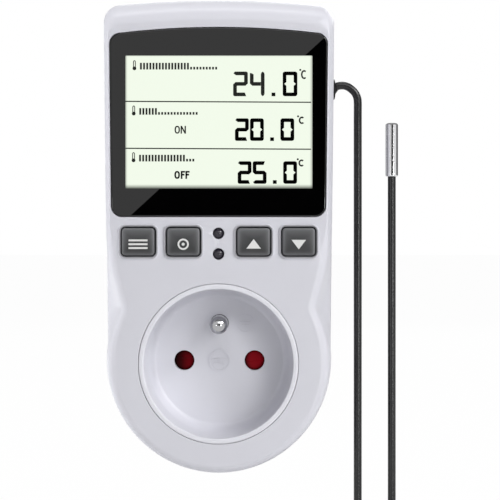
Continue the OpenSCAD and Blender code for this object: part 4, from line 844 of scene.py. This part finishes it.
def button(name, x):
    """A cap with its stem, and painted light and shade on it: its face is painted lighter towards
    the top, the sides and the foot, and its sides are painted dark as shade in the gap, but for a
    lighter lower edge.
    """
    cap = Shape()
    rings = [cap.ring(cap_outline(x, 0), CAP_FOOT_D)]
    for a in quarter(8):
        rings.append(cap.ring(cap_outline(x, -0.7 * CAP_EDGE_R * (1 - cos(a))),
                              CAP_TOP_D + CAP_EDGE_R * (1 - sin(a))))
    rim = cap_outline(x, -0.7 * CAP_EDGE_R)
    for s in (0.94, 0.87, 0.8, 0.72, 0.62, 0.5, 0.35, 0.18):
        flat = [(x + (px - x) * s, BUTTON_Z + (pz - BUTTON_Z) * s) for px, pz in rim]
        rings.append(cap.ring(flat, CAP_TOP_D - CAP_CROWN * (1 - s * s)))
    cap.bands(rings)
    cap.fill(rings[-1])
    low = [cap.ring(cap_outline(x, 0.55), d) for d in (CAP_FOOT_D, KEY_D)]
    cap.bands([rings[0]] + low)
    stem = cap.lathe([(1.5, KEY_D), (1.5, 4.2)], x, BUTTON_Z, 24)
    cap.region(low[1], [stem[0]])
    cap.fill(stem[1])
    o = cap.piece(name + "_cap", "button_rubber", name + "_key")
    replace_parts(o, name + "_button")

    def painted_light_at(px, d, pz):
        u, w = (px - x) / (CAP_W / 2), (pz - BUTTON_Z) / (CAP_H / 2)
        if d > -0.35:
            return 0.4 if w < -0.8 else 0.0
        side = max(0.0, abs(u) - 0.62) / 0.33
        top = max(0.0, w - 0.05) / 0.85
        foot = max(0.0, -w - 0.6) / 0.35
        return min(1.0, 0.15 + 0.55 * side ** 2 + 0.62 * top ** 1.5 + 0.45 * foot ** 2)

    # Painted light and shade, kept as the value tone on the mesh.
    paint(o, "tone", painted_light_at)


def sign(name, x):
    """A pale sign on a cap: bars, a ring, or a triangle that points up or down."""
    shape = Shape()
    z = BUTTON_Z - 0.65
    if name == "mode":
        for dz in (-1, 0, 1):
            prism(shape, rounded(x, z + dz, 5.0, 0.5, 0.12, 3), SIGN_D, SIGN_ROOT_D)
    elif name == "set":
        ribbon(shape, circle(x, z, 1.25, 36), 0.45, SIGN_D, SIGN_ROOT_D, closed=True)
        prism(shape, circle(x, z, 0.4, 16), SIGN_D, SIGN_ROOT_D)
    else:
        s = 1 if name == "up" else -1
        prism(shape, [(x - 1.9, z - s * 1.15), (x + 1.9, z - s * 1.15), (x, z + s * 1.35)],
              SIGN_D, SIGN_ROOT_D)
    shape.piece(name + "_sign", "button_rubber", name + "_key", PRINT, FINE_WELD, weighted=False)


for name, x in BUTTONS.items():
    button(name, x)
    sign(name, x)

# Lamps beside the buttons
DOME_R, DOME_D = 1.45, 1.15
for name, z in LAMPS.items():
    lamp = Shape()
    profile = [(0.9, 8.7), (0.9, 5.9), (1.75, 5.9), (1.75, 4.9), (DOME_R, 4.9), (DOME_R, DOME_D)]
    profile += [(DOME_R * cos(a), DOME_D - DOME_R * sin(a)) for a in quarter(9)[1:-1]]
    lamp.close(lamp.lathe(profile + [(0.05, -0.3)], 0, z, 32))
    dome = lamp.piece(name + "_lamp_dome", "lamp_lens")
    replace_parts(dome, name + "_lamp")

# Socket insert. Its wall tapers, and then curves in to the floor.
WALL_R, TAPER, TAPER_D, CURVE_IN, CURVE_D = 19.6, 0.35, 1.3, 2.25, 8.0
RIM_BACK_D, REAR_D, LUG_X, LUG_D, LUG_END_D = 2.4, 17, 24.5, 5.4, 7.4
CONTACT_HOLE = ((2.86, 0), (2.74, 0.05), (2.7, 0.16), (2.7, 2))
EARTH_HOLE = ((2.53, 0), (2.47, 0.05), (2.47, 0.12), (2.75, 0.12), (2.75, 2))
insert = Shape()
profile = [(20.96, RIM_BACK_D), (20.96, 2.2), (20.95, 0.2), (20.91, 0.07), (20.83, 0.0),
           (20.68, -0.03), (20.4, -0.04), (20.0, -0.04), (19.78, -0.01), (19.67, 0.06),
           (19.61, 0.18), (19.59, 0.5), (19.57, TAPER_D)]
profile += [(WALL_R - TAPER * (i / 6), TAPER_D + (CURVE_D - TAPER_D) * i / 6) for i in range(1, 7)]
profile += [(WALL_R - TAPER - CURVE_IN * (1 - cos(a)),
             CURVE_D + (WELL_D - CURVE_D) * sin(a)) for a in quarter(15)[1:]]
well = insert.lathe(profile, 0, 0, 160)


def embossed(x, z, r, bars):
    """A round mark on the well's floor: a thin raised ring with bars across it."""
    ribbon(insert, circle(x, z, r, 48), 0.36, WELL_D - 0.4, WELL_D + 0.2, closed=True)
    for dz, half_w in bars:
        prism(insert, rounded(x, z + dz, 2 * half_w, 0.34, 0.1, 3), WELL_D - 0.38, WELL_D + 0.2)


floor_holes = [insert.lathe([(r, WELL_D + d) for r, d in hole], x, z, 56)
               for x, z, hole in ((CONTACT_X, 0, CONTACT_HOLE), (-CONTACT_X, 0, CONTACT_HOLE),
                                  (0, EARTH_Z, EARTH_HOLE))]
insert.region(well[-1], [rings[0] for rings in floor_holes])
rear = insert.lathe([(20.96, RIM_BACK_D), (21.9, RIM_BACK_D), (21.9, 4.4), (20.95, 4.4),
                     (20.4, REAR_D)], 0, 0, 160)
insert.region(rear[-1], [rings[-1] for rings in floor_holes])
embossed(0, 0, 2.75, ((0.35, 2.0), (-0.65, 1.5)))
embossed(6.9, EARTH_Z, 2.35, ((0.35, 1.5), (-0.45, 1.1)))
for s in (-1, 1):
    lug = insert.lathe([(1.1, LUG_D), (2.6, LUG_D), (2.6, LUG_END_D), (1.1, LUG_END_D)],
                       s * LUG_X, 0, 24)
    insert.band(lug[-1], lug[0])
    flat = [(s * px, pz) for px, pz in ((20.5, -1.6), (22.4, -1.6), (22.4, 1.6), (20.5, 1.6))]
    bridge = [insert.ring(flat, d) for d in (LUG_D, LUG_END_D)]
    insert.bands(bridge)
    insert.close(bridge)
# The insert takes the casing's plastic painted lighter, as painted light in the well.
socket_well = insert.piece("socket_well", "casing_plastic", material=WELL_PAINTED_LIGHTER)
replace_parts(socket_well, "socket_insert")


# Pins
def pin(name, node, x, z, tip_d, root_d, s, root):
    """A pin with a round tip, which points forwards where s is 1, and its root's profile."""
    shape = Shape()
    tip = [(PIN_R * sin(a), tip_d + s * PIN_R * (1 - cos(a))) for a in quarter(8)[1:]]
    shape.close(shape.lathe([(0.03, tip_d), *tip, (PIN_R, root_d), *root], x, z, 48))
    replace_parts(shape.piece(name, "nickel"), node)


pin("earth_pin", "socket_earth_pin", 0, EARTH_Z, 1.0, 14.9, 1,
    ((2.42, 15.14), (2.68, 15.14), (2.68, 19.95), (1.9, 19.95), (1.9, 21.9)))
for name, s in (("left", -1), ("right", 1)):
    pin(name + "_pin", name + "_plug_pin", s * CONTACT_X, 0, 74.5, PLUG_END_D, -1,
        ((2.58, 55.4), (2.6, 55.2), (2.6, END_WALL_D), (3.6, END_WALL_D), (3.6, 52.1),
         (PIN_R, 52.1), (PIN_R, 47.5), (1.6, 47.5), (1.6, 45)))


# Cable: one line from the grommet through the coil to the probe
def smooth(route, steps):
    """A smooth line through chosen points, with straight ends."""
    n = len(route) - 1
    points = [Vector(p) for p in route]

    def slope(i):
        if i <= 1:
            return points[1] - points[0]
        if i >= n - 1:
            return points[n] - points[n - 1]
        return (points[i + 1] - points[i - 1]) / 2

    out = []
    for i in range(n):
        for k in range(steps):
            t = k / steps
            out.append((2 * t ** 3 - 3 * t * t + 1) * points[i]
                       + (t ** 3 - 2 * t * t + t) * slope(i)
                       + (3 * t * t - 2 * t ** 3) * points[i + 1]
                       + (t ** 3 - t * t) * slope(i + 1))
    return out + [points[-1]]


COIL_X, COIL_Y, COIL_OUT_R, COIL_IN_R = 29.4, -17.0, 17.6, 7.3
COIL_LOW_Z, COIL_PITCH, COIL_LAYERS, COIL_TURNS, TURN_STEPS = -54.95, 2.65, 4, 15.75, 48
DROP_X = 37.7
UPPER = [(x, CORD_Y, z) for x, z in ((31.85, 74.5), (32.3, 74.66), (33.1, 74.8), (34.1, 74.75),
                                     (35.2, 74.35), (36.2, 73.6), (37, 72.7), (37.5, 71.6),
                                     (DROP_X, 70.2))]
UPPER += [(DROP_X, CORD_Y, z) for z in (66, *range(58, -39, -8), -44, -48.5)]
UPPER += [(37.5, CORD_Y, -50.5), (36.8, -35.4, -52.4), (35.6, -35.1, -53.9),
          (34.2, -34.75, -54.75), (32.8, -34.6, COIL_LOW_Z), (31.6, -34.6, COIL_LOW_Z)]
LOWER = [(PROBE_X, y, -47) for y in (-19.2, -22, -25, -28, -30.6)]
LOWER += [(PROBE_X, y, z) for y, z in ((-32.4, -46.6), (-33.9, -45.7), (-34.9, -44.4),
                                       (-35.4, -42.8), (CORD_Y, -40.5))]
LOWER += [(PROBE_X, CORD_Y, z) for z in (*range(-34, 47, 8), 49.9)]


def coil_point(t):
    """The coil's line after t turns. It spirals in and out by layers, and climbs between them."""
    turns = COIL_TURNS / COIL_LAYERS
    phase = t / turns
    part = phase % 1
    reach = COIL_OUT_R - COIL_IN_R
    r = COIL_OUT_R - reach * part if phase % 2 < 1 else COIL_IN_R + reach * part
    climb = floor(phase + 0.5)
    u = max(-1.0, min(1.0, 4 * (phase - climb) * turns))
    layer = climb - 0.5 + u * (3 - u * u) / 4
    layer = min(COIL_LAYERS - 1, max(0, layer))
    a = radians(-90 - 360 * t)
    return Vector((COIL_X + r * cos(a), COIL_Y + r * sin(a), COIL_LOW_Z + COIL_PITCH * layer))


line = smooth(UPPER, 4)
line += [coil_point(i / TURN_STEPS) for i in range(int(COIL_TURNS * TURN_STEPS) + 1)]
line += smooth(LOWER, 4)
cord_data = bpy.data.curves.new("probe_cord", "CURVE")
cord_data.dimensions = "3D"
spline = cord_data.splines.new("POLY")
spline.points.add(len(line) - 1)
for point, p in zip(spline.points, line):
    point.co = (p.x * MM, p.y * MM, p.z * MM, 1)
cord_data.bevel_depth = CORD_R * MM
cord_data.bevel_resolution = 4
cord_data.use_fill_caps = True
cord_data.materials.append(MATERIALS["cable_jacket"])
cord = add_object("probe_cord", cord_data)
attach(cord, "casing")
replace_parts(cord, "probe_cable", "probe_coil", "probe_cable_end")

# Grommet: a low dome on the side with a short nose round the cable
OUTLET, DOME_RISE = Vector((30.6834, CORD_Y, 73.7)), 0.88
grommet = Shape()


def tube_ring(centre, direction, r):
    """A ring of the grommet, square to a direction."""
    u = direction.cross(Vector((0, 1, 0))).normalized()
    v = direction.cross(u)
    angles = [tau * i / 40 for i in range(40)]
    return grommet.space([centre + r * (cos(a) * u + sin(a) * v) for a in angles])


outward, cord_start = Vector((1, 0, 0)), Vector(UPPER[0])
nose = (Vector(UPPER[1]) - cord_start).normalized()
rings = [tube_ring(OUTLET + outward * dx, outward, r) for dx, r in
         ((-2.94, 1.9), (-2.94, 2.6), (-2.04, 2.6), (-2.04, 1.9), (0.04, 1.9), (0.04, 2.75),
          (0.1, 2.8), (0.52, 2.78), (0.7, 2.6), (0.82, 2.1), (0.87, 1.6), (DOME_RISE, 1.3))]
for k, r in ((0.2, 1.22), (0.6, 1.2), (1.0, 1.17)):
    centre = (OUTLET + outward * DOME_RISE).lerp(cord_start, k)
    rings.append(tube_ring(centre, outward.lerp(nose, k).normalized(), r))
rings.append(tube_ring(cord_start, nose, 1.12))
grommet.bands(rings)
grommet.close(rings)
cable_outlet = grommet.piece("cable_outlet", "cable_jacket", material=GROMMET)
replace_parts(cable_outlet, "cable_grommet")

# Tie round the coil: the outer side of a flat band, with its head and tail
TIE_X, TIE_Z, TIE_W, TIE_H, TIE_R = 17.2, -50.975, 14.0, 11.15, 2
tie = Shape()


def tie_ring(dy, x, z, w, h, r, n):
    """A ring of the tie, dy away from the middle of its band."""
    return tie.space([(px, COIL_Y + dy, pz) for px, pz in rounded(x, z, w, h, r, n)])


rows = [tie_ring(dy, TIE_X, TIE_Z, TIE_W + 2 * grow, TIE_H + 2 * grow, TIE_R + grow, 6)
        for grow, dy in ((0.2, -2.0), (0.3, -1.8), (0.3, 1.8), (0.2, 2.0))]
tie.bands(rows)
# The head and the tail: centre, size, half their length along Y and their edges' radius
for x, z, w, h, half, r in ((9.8, -46.3, 4.8, 3.2, 2.6, 0.5), (7.1, -45.65, 3.8, 0.6, 2.0, 0.15)):
    rings = [tie_ring(dy, x, z, w - 2 * inset, h - 2 * inset, 0.25, 3)
             for dy, inset in ((-half, r), (-half + r * 0.3, r * 0.3), (-half + r, 0),
                               (half - r, 0), (half - r * 0.3, r * 0.3), (half, r))]
    tie.bands(rings)
    tie.close(rings)
coil_tie = tie.piece("nylon_tie", "tie_nylon")
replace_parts(coil_tie, "coil_tie")

# Steel probe on the cable's end
PROBE_R, TIP_R, TIP_Z = 1.7, 0.6, 63.9
probe = Shape()
profile = [(1.12, 49.95), (1.5, 49.9), (1.62, 49.96), (1.68, 50.1), (PROBE_R, 50.35),
           (PROBE_R, 56), (PROBE_R, TIP_Z)]
profile += [(PROBE_R - TIP_R * (1 - cos(a)), TIP_Z + TIP_R * sin(a))
            for a in quarter(6)[1:]] + [(0.05, TIP_Z + TIP_R)]
rings = [probe.space([(x, y, z) for x, y in circle(PROBE_X, CORD_Y, r, 48)]) for r, z in profile]
probe.bands(rings)
probe.close(rings)
steel_probe = probe.piece("steel_probe", "probe_steel")
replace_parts(steel_probe, "probe_sleeve")

# The rest of the solids keep their shape and get a material and soft edges
SOFT_EDGE_W, SOFT_EDGE_ANGLE = 0.12, radians(40)
WIRES = ("live_wire", "load_wire", "neutral_wire", "feed_wire", "sensor_lead", "shutter_spring")
slots = {row["node"]: row["material_slot"] for row in frame["record"]["subparts"]}
for name, o in frame["nodes"].items():
    if o.hide_render:
        continue
    o.data.materials.clear()
    o.data.materials.append(MATERIALS[slots[name]])
    o.modifiers.new("weld", "WELD").merge_threshold = 0.001 * MM
    if name not in WIRES:
        bevel = o.modifiers.new("soft_edges", "BEVEL")
        bevel.width = SOFT_EDGE_W * MM
        bevel.segments = 2
        bevel.limit_method = "ANGLE"
        bevel.angle_limit = SOFT_EDGE_ANGLE
        bevel.harden_normals = True
    o.data.shade_smooth()
    o.data.set_sharp_from_angle(angle=SOFT_EDGE_ANGLE)

# Floor, light and background. From here on lengths are in metres.
FLOOR_Z, FLOOR_HALF, WORLD_LEVEL = -0.057, 30, 0.09


def white_for_view(tree, strength):
    """The strength for rays from the camera and for mirror and glass rays, and 0 for others."""
    path = add_node(tree, "LightPath").outputs
    seen = math_node(tree, "MAXIMUM", path["Is Camera Ray"], path["Is Glossy Ray"])
    seen = math_node(tree, "MAXIMUM", seen, path["Is Transmission Ray"])
    return math_node(tree, "MULTIPLY", seen, strength)


def flat_piece(name, material, points, faces=((0, 1, 2, 3),)):
    mesh = bpy.data.meshes.new(name)
    mesh.from_pydata(points, [], faces)
    mesh.materials.append(material)
    return add_object(name, mesh)


floor_material = bpy.data.materials.new("floor")
floor_material.use_nodes = True
tree = floor_material.node_tree
tree.nodes.remove(tree.nodes["Principled BSDF"])
diffuse = add_node(tree, "BsdfDiffuse", Color=(0.7, 0.7, 0.7, 1))
glow = add_node(tree, "Emission", Strength=1.0)
mix = add_node(tree, "MixShader")
tree.links.new(white_for_view(tree, 0.98), mix.inputs["Fac"])
tree.links.new(diffuse.outputs["BSDF"], mix.inputs[1])
tree.links.new(glow.outputs["Emission"], mix.inputs[2])
tree.links.new(mix.outputs["Shader"], tree.nodes["Material Output"].inputs["Surface"])
ground = flat_piece("floor", floor_material,
                    [(x * FLOOR_HALF, y * FLOOR_HALF, FLOOR_Z)
                     for x, y in ((-1, -1), (1, -1), (1, 1), (-1, 1))])


def card(name, grey, points, **faces):
    """A card that only mirror rays see."""
    m = bpy.data.materials.new(name)
    m.use_nodes = True
    set_inputs(m.node_tree.nodes["Principled BSDF"],
               {"Base_Color": (0, 0, 0, 1), "Specular_IOR_Level": 0.0,
                "Emission_Color": (grey, grey, grey, 1), "Emission_Strength": 1.0})
    o = flat_piece(name, m, points, **faces)
    o.visible_camera = o.visible_diffuse = o.visible_shadow = o.visible_transmission = False


# The black card ends in a slanting line, the glare's edge on the window. The grey ones behind give
# bright metal and the cable their dark edges, and the strips give the cable and probe a streak.
black_points = ((-290, -260), (380, -260), (380, 40), (-290, 40), (-98.9, 40), (80, 40),
                (80, 204.2), (-115, 40), (-115, 215), (-290, 215), (80, 215), (380, 215),
                (380, 400), (-290, 400))
card("black_card", 0.0, [(x * MM, -0.9, z * MM) for x, z in black_points],
     faces=[(0, 1, 2, 3), (4, 5, 6), (3, 7, 8, 9), (5, 2, 11, 10), (9, 11, 12, 13)])
for name, s in (("left_card", -1), ("right_card", 1)):
    card(name, 0.16, [(s * x, y, z) for x, y, z in ((2.2, -0.2, -0.05), (0.3, 2.2, -0.05),
                                                    (0.3, 2.2, 3), (2.2, -0.2, 3))])
card("top_card", 0.3, [(-2, -1, 1.6), (2, -1, 1.6), (2, 2, 1.6), (-2, 2, 1.6)])
for name, x, half, low, top, level in (("left_strip", -0.5, 0.12, -0.25, 0.07, 6.0),
                                       ("right_strip", 0.5, 0.14, -0.25, 0.08, 18.0),
                                       ("right_screen", 0.6, 0.24, 0.07, 0.7, 1.0)):
    card(name, level, [(x - half, -0.95, low), (x + half, -0.95, low), (x + half, -0.95, top),
                       (x - half, -0.95, top)])
card("tip_card", 0.32, [(0.040, -0.054, 0.069), (0.066, -0.054, 0.069), (0.066, -0.016, 0.069),
                        (0.040, -0.016, 0.069)])

world = bpy.data.worlds.new("studio")
scene.world = world
world.use_nodes = True
tree = world.node_tree
sky = tree.nodes["Background"]
sky.inputs["Color"].default_value = (1, 1, 1, 1)
level = math_node(tree, "ADD", white_for_view(tree, 1 - WORLD_LEVEL), WORLD_LEVEL)
tree.links.new(level, sky.inputs["Strength"])


def softbox(name, place, aim, width, height, power):
    """A lamp that shines from a place towards a point. Mirror rays don't see the side lamps."""
    data = bpy.data.lights.new(name, "AREA")
    data.shape = "RECTANGLE"
    data.size, data.size_y, data.energy = width, height, power
    o = add_object(name, data)
    o.location = place
    o.rotation_euler = (Vector(aim) - Vector(place)).to_track_quat("-Z", "Y").to_euler()
    o.visible_glossy = name not in ("left", "right")


FACE, MIDDLE = (0, -0.05, 0.03), (0, -0.03, 0.04)
softbox("key", (0.56, -1.0, 0.3), FACE, 0.35, 0.7, 3.9)
softbox("slant", (0.8, -0.6, 0.68), FACE, 0.3, 0.3, 5.6)
softbox("high_key", (0.45, -0.8, 0.78), FACE, 0.5, 0.5, 0.8)
softbox("front", (0.06, -0.85, 0.6), FACE, 0.5, 0.4, 1.25)
softbox("left", (-0.95, 0.04, 0.22), MIDDLE, 0.25, 0.9, 12)
softbox("right", (0.92, 0.3, 0.2), MIDDLE, 0.3, 0.9, 2.5)
softbox("above", (0.0, 0.02, 1.15), (0, -0.03, 0.03), 0.8, 0.4, 4.6)
softbox("back", (0.3, 1.3, 0.6), (0, 0, 0.03), 0.9, 0.6, 6)
scene.view_settings.view_transform = "Standard"
